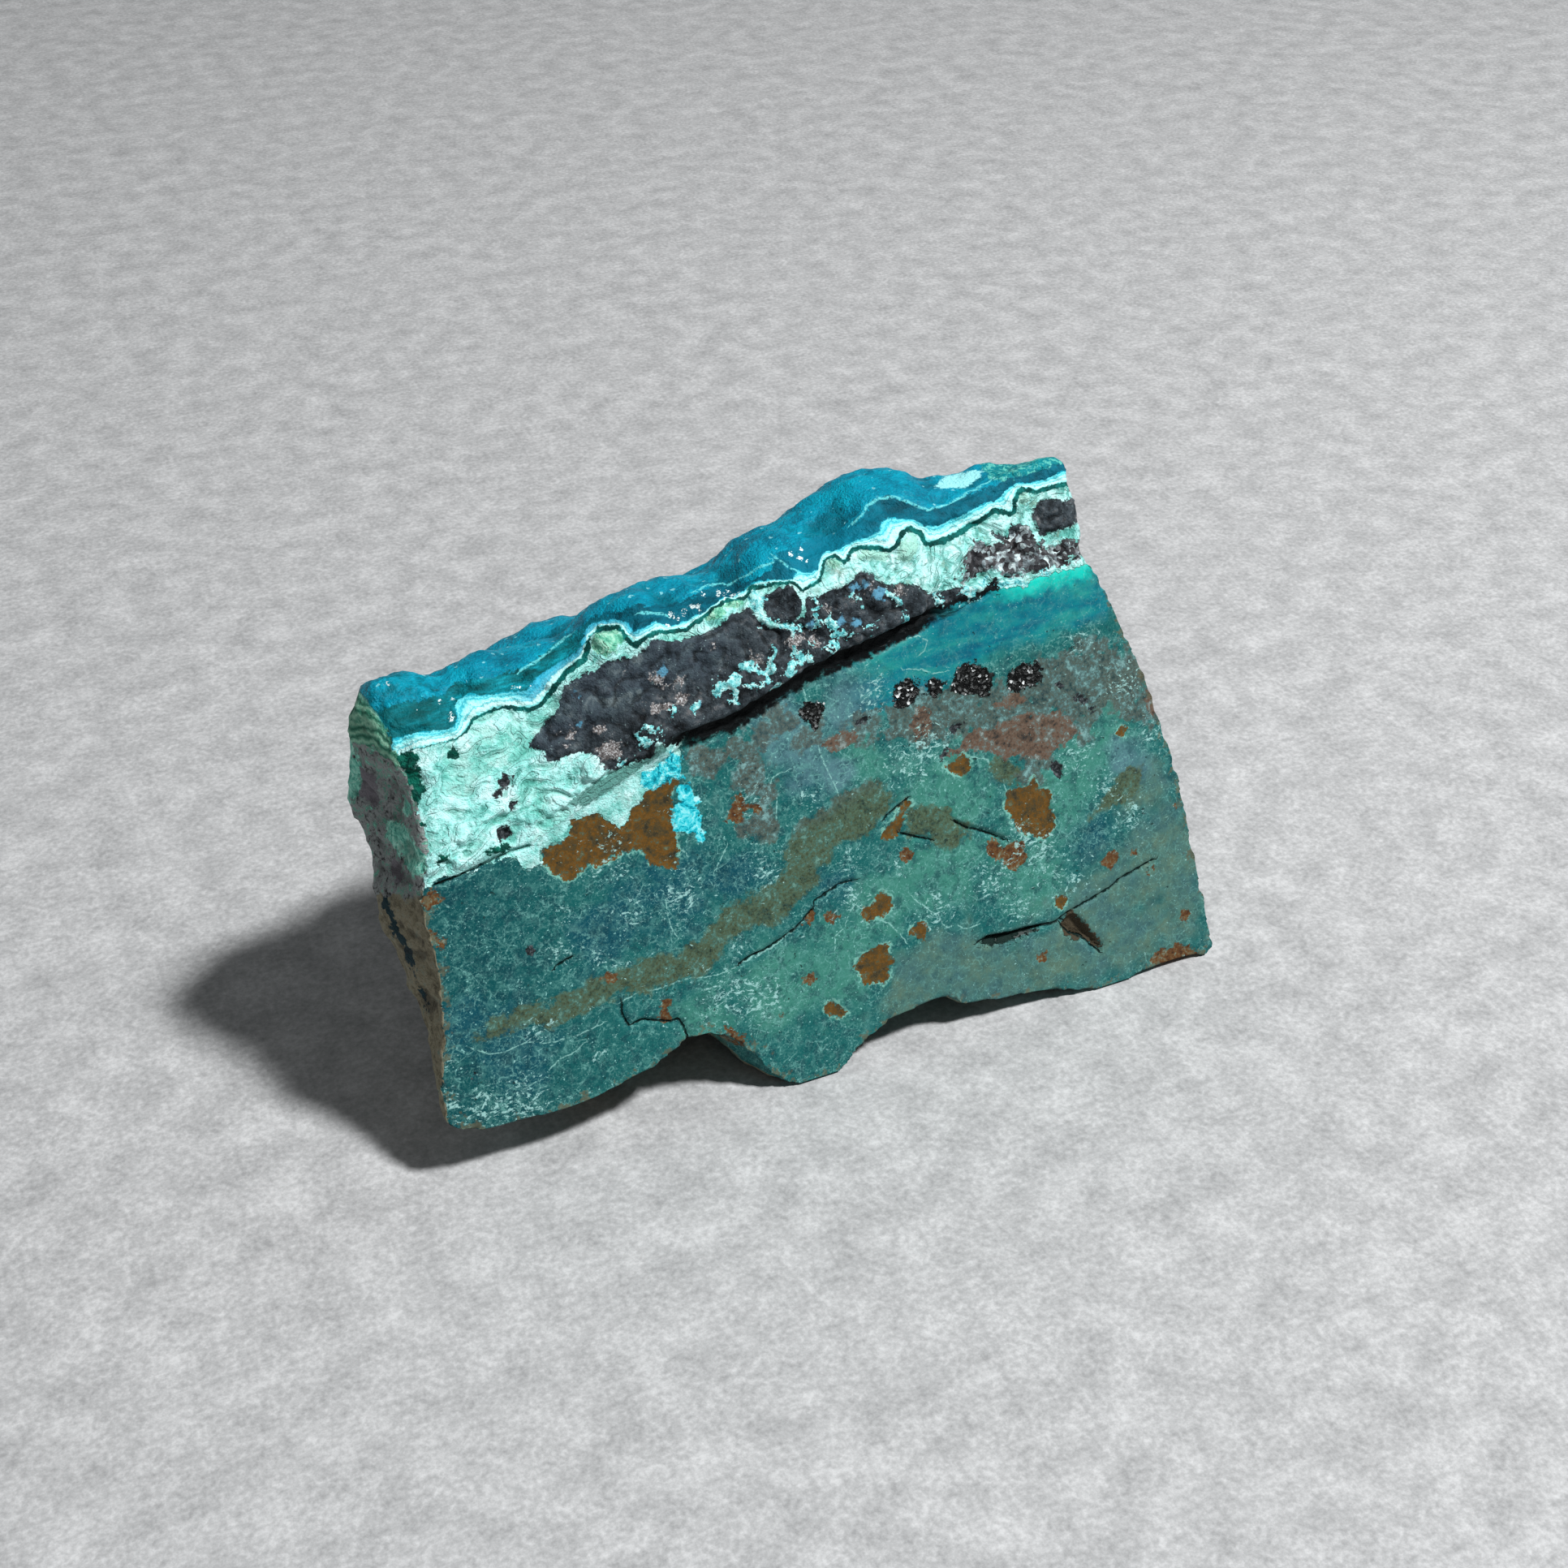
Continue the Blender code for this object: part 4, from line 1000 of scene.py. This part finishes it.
def earthy_patches(paint, colour):
    """Olive, dusty, brown, rust and ochre patches of the saw cut, laid over its ground."""
    dusty = (paint.above + paint.wobble(5.0, 4.0)).rise(-17.0, -12.0)
    olive = (paint.medium * 0.5 + paint.noise(0.5, 4.0, 0.75) * 0.5).colours(
        (0.38, 32, 46, 42), (0.45, 60, 68, 46), (0.51, 80, 90, 64), (0.56, 60, 96, 86), (0.63, 112, 154, 140))
    olive = olive.under(paint.grains * 0.25, (96, 132, 112))
    dust = (paint.medium * 0.4 + paint.noise(0.6, 5.0, 0.75, paint.ruffled) * 0.6).colours(
        (0.36, 26, 38, 42), (0.43, 60, 78, 78), (0.48, 86, 90, 80), (0.53, 80, 108, 108),
        (0.62, 130, 172, 170))
    in_olive = paint.patch("olive", paint.edge + paint.wobble(4.0, 2.6, 4.0), 0.4)
    colour = colour.under(in_olive * 0.92, olive.under(dusty, dust))
    clouds = paint.field("dusty_clouds")
    cover = (clouds + paint.wobble(3.4, 1.8, 4.0)).rise(0.30, 0.62) * clouds.rise(0.05, 0.35)
    colour = colour.under(cover * 0.85, dust)
    brown = (paint.medium * 0.5 + paint.noise(0.6, 5.0, 0.75) * 0.5).colours(
        (0.38, 44, 46, 46), (0.44, 82, 70, 60), (0.50, 108, 88, 74), (0.55, 94, 100, 94),
        (0.62, 140, 154, 150))
    colour = colour.under(paint.patch("brown"), brown)
    rust = paint.noise(0.6, 4.0, 0.7).colours(
        (0.32, 54, 40, 28), (0.44, 90, 58, 34), (0.54, 106, 76, 44), (0.62, 104, 104, 84),
        (0.72, 150, 160, 144))
    colour = colour.under(paint.patch("rust"), rust)
    ochre = paint.noise(1.3, 4.0, 0.7).colours(
        (0.32, 50, 48, 36), (0.42, 76, 66, 42), (0.50, 92, 68, 30), (0.56, 110, 76, 28), (0.62, 80, 80, 56),
        (0.72, 110, 122, 100))
    ochre = ochre.under(paint.speck.rise(0.56, 0.7) * 0.4, (128, 96, 50))
    rim = paint.patch("ochre", paint.thin_edge + 0.3).least(1.0 - paint.patch("ochre", paint.thin_edge))
    colour = colour.under(rim * paint.medium.rise(0.44, 0.56), (120, 184, 170))
    return colour.under(paint.patch("ochre", paint.thin_edge + paint.edge * 0.4), ochre)


def sawn_colours(paint):
    """The saw cut: its ground and patches, then turquoise, flecks, pits, chip, gash, rim and cracks."""
    colour = earthy_patches(paint, sawn_ground(paint))
    colour = colour.under(paint.patch("turquoise"), paint.turquoise())
    drawn_out = paint.moved(paint.stretched(paint.swirled, (0.6, 1.0, 1.0)), (9.0, 0.0, 0.0))
    flecks = paint.field("flecks") * 0.13 + paint.noise(0.5, 4.0, 0.75, drawn_out)
    colour = colour.under(flecks.rise(0.64, 0.72) * 0.85, (164, 214, 210))
    pits = paint.noise(0.9, 3.0, 0.6, paint.moved(paint.place, (0.0, 70.0, 0.0))).rise(0.68, 0.73)
    colour = colour.under(pits * 0.8, (18, 40, 40))
    colour = colour.under(paint.patch("chip"), (70, 62, 48))
    colour = colour.under(paint.patch("gash", paint.thin_edge), (14, 36, 32))
    rim = (paint.field("rim") + paint.edge * 2.0).fall(0.4, 1.1)
    colour = colour.under(rim * 0.7, paint.mix(paint.medium, (80, 66, 44), (112, 116, 92)))
    return colour.under(paint.cracks, (8, 34, 32))


def pale_colours(paint):
    """Pale swirls, green fold lines, rings and stains to the right; painted shade in hollows and the smooth
    slope.
    """
    across = paint.across
    to_right = across.rise(-2.0, 5.0)
    colour = paint.noise(2.4, 4.0, 0.7, paint.swirled).colours(
        (0.32, 92, 176, 166), (0.42, 144, 224, 216), (0.52, 184, 246, 242), (0.66, 212, 253, 251))
    # Painted shade in the low places of the folds.
    painted_hollow_shade = (paint.field("folds") + paint.wobble(0.4, 0.7, 4.0)).fall(-0.26, -0.04) * across.fall(-8.0, 4.0)
    lines = paint.fold_layers.fall(0.02, 0.16) * paint.noise(1.8, 4.0, 0.7).rise(0.45, 0.57)
    rings = (paint.cells(2.6, paint.ruffled) * 2.2 + paint.wobble(0.8, 0.8, 3.0)).layers().fall(0.03, 0.22)
    stain = paint.noise(1.6, 4.0, 0.7, paint.moved(paint.swirled, (0.0, 0.0, 77.0))).rise(0.56, 0.66)
    # Painted shade in sunk places of the skin.
    painted_sunk_shade = (paint.crevice + paint.wobble(0.1, 0.5)).rise(0.02, 0.10)
    # The slope under the lens, darker grey-teal as painted shade.
    slope = paint.mix(paint.fine, (68, 124, 118), (106, 162, 152))
    for place, share, over in [
            (painted_hollow_shade, 0.35, (92, 190, 168)), (lines, 0.42, (52, 150, 132)),
            (rings * to_right, 0.65, (64, 144, 134)), (stain * to_right, 0.6, (132, 156, 138)),
            (paint.fine.rise(0.56, 0.70), 0.3, (98, 146, 138)), (painted_sunk_shade, 0.45, (64, 140, 128)),
            (paint.patch("slope", paint.thin_edge), 0.9, slope)]:
        colour = colour.under(place * share, over)
    return colour


def lens_colours(paint):
    """The dark lens: bluish and smooth up on the left, pink and blue spots, painted shade in crevices and
    below.
    """
    across = paint.across
    dark = (paint.medium * 0.5 + paint.noise(0.9, 5.0, 0.75) * 0.5).colours(
        (0.36, 12, 16, 18), (0.45, 36, 43, 48), (0.54, 60, 70, 76), (0.63, 96, 98, 100),
        (0.72, 160, 160, 160))
    bluish = paint.noise(2.4, 5.0, 0.65, paint.swirled).colours(
        (0.36, 26, 34, 40), (0.48, 58, 70, 80), (0.56, 70, 86, 94), (0.66, 114, 128, 132))
    smooth_part = (paint.above + paint.edge).rise(5.0, 9.0) * across.fall(-14.0, -4.0)
    dark = dark.under(smooth_part * 0.8, bluish)
    pink = paint.speck.colours((0.35, 84, 78, 76), (0.5, 136, 130, 128), (0.64, 214, 216, 218))
    dark = dark.under(paint.patch("pink_spots", paint.edge * 2.2 - 0.35, 0.2) * 0.85, pink)
    dark = dark.under(paint.patch("blue_spots", soft=0.2), (88, 148, 176))
    stray = paint.noise(0.5, 4.0, 0.75, paint.moved(paint.place, (0.0, 0.0, 31.0))).rise(0.64, 0.68)
    dark = dark.under(stray * 0.8, (150, 176, 178))
    # Painted shade in the crevices.
    dark = dark.under(paint.crevice.rise(0.0, 0.07) * 0.6, (8, 10, 12))
    # Painted shade: a near-black band along the foot of the lens.
    return dark.under((paint.above + paint.thin_edge).fall(0.9, 1.9), (4, 10, 12))


def break_colours(paint):
    """The rough break: its pale zone, the lens, the granular part, strands, turquoise and green lobes."""
    granular = paint.cell_shades(0.6, paint.swirled).colours(
        (0.0, 28, 26, 28), (0.3, 80, 78, 80), (0.55, 118, 122, 126), (0.78, 150, 168, 174),
        (0.93, 218, 238, 240))
    granular = granular.under(paint.medium.rise(0.44, 0.58) * 0.7, (40, 42, 46))
    strand = paint.noise(0.6, 4.0, 0.7).colours(
        (0.36, 50, 140, 148), (0.48, 124, 214, 216), (0.62, 206, 244, 242))
    lobe = paint.noise(0.8, 4.0, 0.7).colours(
        (0.34, 44, 140, 108), (0.46, 100, 190, 156), (0.62, 176, 232, 204))
    lobe = lobe.under(paint.across.rise(0.0, 10.0) * 0.6, (188, 238, 230))
    colour = pale_colours(paint)
    colour = colour.under(paint.patch("lens", paint.edge * 0.7), lens_colours(paint))
    colour = colour.under(paint.patch("granular", paint.edge * 1.5), granular)
    colour = colour.under(paint.patch("strands", paint.edge * 1.4 - 0.08, 0.08), strand)
    colour = colour.under(paint.patch("turquoise"), paint.turquoise())
    return colour.under(paint.patch("lobes", paint.edge * 0.8, 0.15) * 0.9, lobe)


def stripe_colours(paint, low):
    """Pale stripes, from the green line up to the deep band."""
    share = low / (low - paint.field("deep_band")) + (paint.wobble(0.5, 1.2) + paint.wobble(0.25, 0.3))
    stripes = share.colours(
        (0.0, 130, 230, 230), (0.12, 200, 253, 250), (0.3, 204, 253, 250), (0.42, 84, 200, 208),
        (0.50, 190, 255, 255), (0.64, 150, 255, 255), (0.76, 50, 186, 204), (0.88, 124, 238, 246),
        (1.0, 20, 166, 188))
    sky = paint.across.between(-35.0, -31.0, -22.0, -16.0)
    return stripes.under(sky * 0.8 * share.rise(0.2, 0.5), (44, 170, 204))


def deep_colours(paint, low, worn):
    """The deep band, streaky and green to the left. Where worn, it is green in thin layers."""
    across = paint.across
    deep = paint.medium.colours((0.34, 0, 74, 90), (0.5, 0, 94, 114), (0.68, 2, 114, 136))
    streaks = paint.noise(1.5, 4.0, 0.7, paint.stretched(paint.place, (0.4, 1.0, 1.6)))
    wet = streaks.colours((0.34, 0, 70, 70), (0.44, 0, 104, 110), (0.54, 0, 132, 144), (0.66, 20, 176, 194))
    deep = deep.under(across.fall(-26.0, -20.0) * 0.85, wet)
    deep = deep.under(across.fall(-42.0, -38.0) * 0.45, (0, 78, 78))
    deep = deep.under(across.between(-3.0, 0.0, 8.0, 12.0) * 0.7, (0, 126, 152))
    layers = (low * 0.7 + paint.wobble(1.2, 1.6, 3.0)).layers()
    return deep.under(worn, layers.colours((0.05, 24, 80, 66), (0.22, 60, 116, 98), (0.42, 130, 182, 156)))


def lay_bands(paint, base, strength, wobble, worn=0.0):
    """Green line, pale stripes and deep band over a base."""
    low = paint.field("stripes")
    green = paint.mix(paint.medium.rise(0.4, 0.6), (0, 66, 62), (6, 110, 104))
    for name, colour in [("green_band", green), ("stripes", stripe_colours(paint, low)),
                         ("deep_band", deep_colours(paint, low, worn))]:
        base = base.under(paint.patch(name, wobble, 0.06) * strength, colour)
    return base


def crust_colours(paint):
    """Blue crystals, painted shade in hollows and crevices, pale veils, wet on the left and streaky on the
    right.
    """
    colour = paint.noise(4.0, 4.0, 0.65).colours((0.34, 0, 106, 132), (0.5, 0, 138, 166), (0.66, 0, 160, 186))
    # Painted shade: darker blue where the skin lies low.
    painted_hollow_shade = (paint.field("hollow") + paint.wobble(0.3, 1.5, 3.0)).rise(-0.02, 0.20)
    veil = paint.noise(2.2, 4.0, 0.7, paint.moved(paint.swirled, (0.0, 33.0, 0.0))).rise(0.60, 0.70)
    left = (paint.across + paint.wobble(12.0, 4.0, 4.0)).fall(-44.0, -34.0)
    wet = paint.noise(1.5, 4.0, 0.7).colours(
        (0.36, 0, 82, 88), (0.46, 0, 122, 142), (0.58, 0, 150, 176), (0.68, 30, 190, 210))
    streaky = paint.patch("streaky")
    # Lighter grains and specks, painted shade in hollows and crevices, veils, the wet left and the streaky
    # right.
    for place, share, over in [
            (paint.fine.rise(0.48, 0.68), 0.4, (4, 176, 200)),
            (paint.speck.rise(0.60, 0.72), 0.35, (20, 180, 200)),
            (painted_hollow_shade, 0.7, (0, 96, 112)), (paint.crevice.rise(0.01, 0.08), 0.5, (0, 88, 104)),
            (veil, 0.35, (60, 190, 200)), (left, 0.75, wet), (streaky, 0.65, (6, 128, 126))]:
        colour = colour.under(place * share, over)
    streaks = streaky * paint.noise(0.8, 4.0, 0.7, paint.swirled).rise(0.48, 0.58)
    pale = paint.patch("pale_top", paint.thin_edge)
    return colour.under(streaks, (96, 196, 184)).under(pale, (158, 236, 240))


def left_end_colours(paint):
    """The left end: sand below, a pale core above, then green bands, turquoise, charcoal and a vein."""
    sand = paint.noise(1.2, 5.0, 0.75).colours(
        (0.32, 76, 72, 58), (0.46, 126, 120, 98), (0.56, 148, 142, 120), (0.68, 112, 128, 116))
    core = paint.noise(1.0, 5.0, 0.75, paint.swirled).colours(
        (0.36, 34, 36, 38), (0.43, 128, 134, 134), (0.53, 156, 162, 162), (0.59, 84, 156, 134),
        (0.68, 160, 230, 208))
    end = sand.under((paint.above + paint.edge).rise(-1.5, -0.5), core)
    bands = (paint.field("end_green") * 1.1 + paint.wobble(1.6, 1.5, 3.0)).layers()
    greens = bands.colours((0.02, 46, 116, 94), (0.2, 88, 160, 134), (0.42, 146, 204, 176))
    turquoises = paint.noise(0.9, 4.0, 0.75, paint.swirled).colours(
        (0.36, 64, 150, 134), (0.48, 124, 214, 192), (0.62, 190, 248, 230))
    charcoal = paint.mix(paint.fine, (96, 94, 100), (144, 140, 148))
    for name, part in [("end_green", greens), ("end_turquoise", turquoises), ("end_charcoal", charcoal),
                       ("end_vein", (16, 52, 60))]:
        end = end.under(paint.patch(name, paint.edge * 0.8), part)
    return end


def rock_colours(paint):
    """Sandy and green rock of the ends, back and foot, dark behind the break, with painted shade in crevices.
    """
    sandy = paint.noise(2.8, 5.0, 0.7, paint.swirled).colours(
        (0.32, 56, 50, 42), (0.42, 104, 94, 76), (0.50, 132, 124, 104), (0.58, 108, 114, 100),
        (0.70, 64, 118, 110))
    green = paint.noise(1.8, 5.0, 0.7, paint.swirled).colours(
        (0.32, 14, 58, 58), (0.46, 36, 92, 86), (0.58, 70, 122, 110), (0.70, 122, 172, 158))
    greener = paint.noise(9.0, 4.0, 0.6, paint.moved(paint.place, (0.0, 0.0, 55.0))).rise(0.47, 0.55)
    dark = paint.noise(1.4, 5.0, 0.75).colours(
        (0.34, 30, 32, 34), (0.44, 72, 74, 76), (0.53, 106, 108, 106), (0.60, 72, 122, 108),
        (0.70, 136, 198, 182))
    behind_break = (paint.above + paint.wobble(9.0, 6.0, 3.0)).rise(-1.5, 1.5)
    on_left_end = (paint.left_end + paint.edge * 0.15).rise(0.3, 0.6)
    colour = sandy.under(greener, green).under(behind_break, dark).under(on_left_end, left_end_colours(paint))
    # Painted shade in the crevices.
    colour = colour.under(paint.crevice.rise(0.01, 0.16) * 0.5, (22, 22, 20))
    return colour.under(paint.fine.rise(0.58, 0.70) * 0.45, (30, 28, 26))


def front_colours(paint):
    """The front below the crust, with nodules, painted shade under the lens, and dark and glassy spots."""
    broken = lay_bands(paint, break_colours(paint), 1.0, paint.thin_edge * 0.7)
    # Grains of the nodules: dark, with painted glints on the brightest few.
    druse = paint.cell_shades(DRUSE_GRAIN).colours(
        (0.0, 4, 6, 6), (0.62, 16, 18, 18), (0.82, 56, 58, 58), (0.95, 116, 120, 120), (0.98, 230, 236, 236))
    # Painted shade: a near-black band in the undercut below the lens.
    painted_undercut_shade = (paint.above + paint.edge * 0.5).rise(-0.5, -0.1) * (paint.above + paint.edge * 0.8).fall(0.7, 1.5)
    painted_undercut_shade = painted_undercut_shade * paint.across.between(-17.5, -15.5, 15.0, 20.0)
    spots = paint.fine.colours((0.36, 18, 24, 26), (0.52, 46, 52, 56), (0.66, 104, 108, 112))
    glassy = paint.mix(paint.medium.rise(0.4, 0.6), (0, 62, 54), (4, 104, 86))
    colour = broken.under(paint.on_saw_cut, sawn_colours(paint))
    colour = colour.under(paint.nodules, druse).under(painted_undercut_shade, (6, 12, 14))
    colour = colour.under(paint.patch("dark_spots", paint.edge * 0.9), spots)
    return colour.under(paint.patch("glassy"), glassy)


def stone_colours(paint):
    """Rock, front and crust together, then the crust's pale lines, and painted glints in spots and on grains.
    """
    not_left = 1.0 - paint.left_end
    bands_sway = paint.edge + paint.wobble(3.0, 3.0, 3.0) - paint.left_end * 4.0
    rock = lay_bands(paint, rock_colours(paint), not_left * 0.8, bands_sway, 0.9)
    on_front = (paint.field("fore") + paint.edge * 0.2).rise(0.35, 0.6)
    colour = rock.under(on_front, front_colours(paint)).under(paint.on_crust, crust_colours(paint))
    lines = paint.thin_line("line", 0.04, 0.2, 0.3) * paint.fine.rise(0.38, 0.5)
    # Painted glints: small white spots on the crust.
    painted_glints = paint.patch("spark_spots", paint.wobble(1.0, 0.25, 1.0) - 0.08, 0.05)
    glints = paint.cell_shades(DRUSE_GRAIN).rise(0.985, 0.99) * paint.on_crust
    colour = colour.under(lines * 0.85, (110, 220, 224)).under(painted_glints, (226, 248, 248))
    return colour.under(glints * 0.6, (150, 226, 232))


def stone_paint():
    """Polished saw cut, rough break, and crust and nodules of sparkling grains."""
    paint = StonePaint()
    paint.feed(paint.shader.inputs["Base Color"], stone_colours(paint))
    paint.shader.inputs["Specular IOR Level"].default_value = 0.14

    dull_places = paint.nodules.most(paint.patch("gash")).most(paint.patch("chip"))
    polish = paint.on_saw_cut * paint.field("sawn") * (1.0 - dull_places)
    roughness = paint.blend(polish, BREAK_ROUGHNESS, paint.blend(paint.fine, *SAWN_ROUGHNESS))
    roughness = paint.blend(paint.on_crust, roughness, CRUST_ROUGHNESS)
    paint.feed(paint.shader.inputs["Roughness"], paint.blend(paint.nodules, roughness, DRUSE_ROUGHNESS))

    height = (paint.fine * 0.22 + paint.speck * 0.10) * paint.blend(polish, 1.0, 0.12)
    height = height + paint.cells(DRUSE_GRAIN) * 0.12 * paint.nodules.most(paint.on_crust * 0.6)
    on_break = (1.0 - paint.on_saw_cut) * (1.0 - paint.patch("lens")) * paint.field("front")
    on_break = on_break * (1.0 - paint.patch("green_band"))
    height = height + paint.fold_layers.rise(0.0, 0.25) * on_break * 0.10 - paint.cracks * 0.25
    bump = paint.add("ShaderNodeBump", "Normal", {"Height": height, "Distance": MM, "Strength": 1.0})
    paint.feed(paint.shader.inputs["Normal"], bump)
    return paint.material


def hollowness(skin, rounds):
    """How far each point lies below the mean of its surroundings, in millimetres."""
    edges = np.empty(2 * len(skin.mesh.edges), dtype=np.int32)
    skin.mesh.edges.foreach_get("vertices", edges)
    first, second = edges.reshape(-1, 2).T
    count = len(skin.points)
    share = np.bincount(first, minlength=count) + np.bincount(second, minlength=count)
    mean = skin.points.copy()
    for _ in range(rounds):
        sums = [np.bincount(first, axis[second], count) + np.bincount(second, axis[first], count)
                for axis in mean.T]
        mean = np.column_stack(sums) / share[:, None]
    return np.einsum("ij,ij->i", mean - skin.points, skin.normals)


def build_stone():
    skin = fine_skin()
    found = survey(skin)
    sort_sides(skin, found)
    found["hollow"] = hollowness(skin, 30)
    work(skin, found)
    found["crevice"] = hollowness(skin, 5)
    for name, values in found.items():
        skin.store(name, values)
    bm = bmesh.new()
    bm.from_mesh(skin.mesh)
    bmesh.ops.triangulate(bm, faces=bm.faces[:])
    bm.to_mesh(skin.mesh)
    bm.free()
    skin.mesh.shade_smooth()
    skin.mesh.name = "stone"
    skin.mesh.materials.clear()
    skin.mesh.materials.append(stone_paint())
    stone = bpy.data.objects.new("stone", skin.mesh)
    bpy.context.scene.collection.objects.link(stone)
    return stone


def build_floor():
    """Pale mineral floor."""
    bpy.ops.mesh.primitive_plane_add(size=6.0)
    floor = bpy.context.object
    floor.name = "floor"
    paint = Paint("floor_surface")
    grey = paint.noise(6.0, 5.0, 0.7) * 0.5 + paint.noise(0.8, 3.0, 0.7) * 0.5
    colour = grey.colours((0.36, 150, 151, 152), (0.5, 176, 177, 178), (0.64, 202, 203, 204))
    paint.feed(paint.shader.inputs["Base Color"], colour)
    paint.shader.inputs["Roughness"].default_value = 0.8
    floor.data.materials.append(paint.material)


def add_light(name, away, size, power):
    """A square white light that looks at the middle of the stone."""
    lamp = bpy.data.lights.new(name, "AREA")
    lamp.size = size
    lamp.energy = power
    light = bpy.data.objects.new(name, lamp)
    light.location = STONE_MIDDLE + away
    light.rotation_euler = away.to_track_quat("Z", "Y").to_euler()
    bpy.context.scene.collection.objects.link(light)


def light_scene():
    """A key light high to the front right, and a soft fill all round."""
    add_light("key", away=1.2 * Vector((0.45, -0.40, 1.0)).normalized(), size=0.14, power=19.5)
    add_light("back_fill", away=Vector((-0.5, 1.0, 0.8)), size=0.9, power=1.0)
    world = bpy.data.worlds.new("world")
    world.use_nodes = True
    background = world.node_tree.nodes["Background"]
    background.inputs["Color"].default_value = (0.95, 0.98, 1.0, 1.0)
    background.inputs["Strength"].default_value = 0.13
    bpy.context.scene.world = world
    bpy.context.scene.view_settings.view_transform = "Standard"


def add_camera():
    """The photograph's view: from the left of the front and above."""
    lens = bpy.data.cameras.new("camera")
    lens.lens = 50.0
    lens.sensor_width = 36.0
    lens.clip_start = 0.01
    camera = bpy.data.objects.new("camera", lens)
    target = Vector((-5.214, -12.069, 36.65)) * MM
    backwards = Vector((-0.3355, -0.7362, 0.5878)).normalized()
    camera.location = target + CAMERA_DISTANCE * backwards
    camera.rotation_euler = backwards.to_track_quat("Z", "Y").to_euler()
    bpy.context.scene.collection.objects.link(camera)
    bpy.context.scene.camera = camera


add_camera()
light_scene()
build_floor()
stone = build_stone()
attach(stone, "root")
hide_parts(STONE)
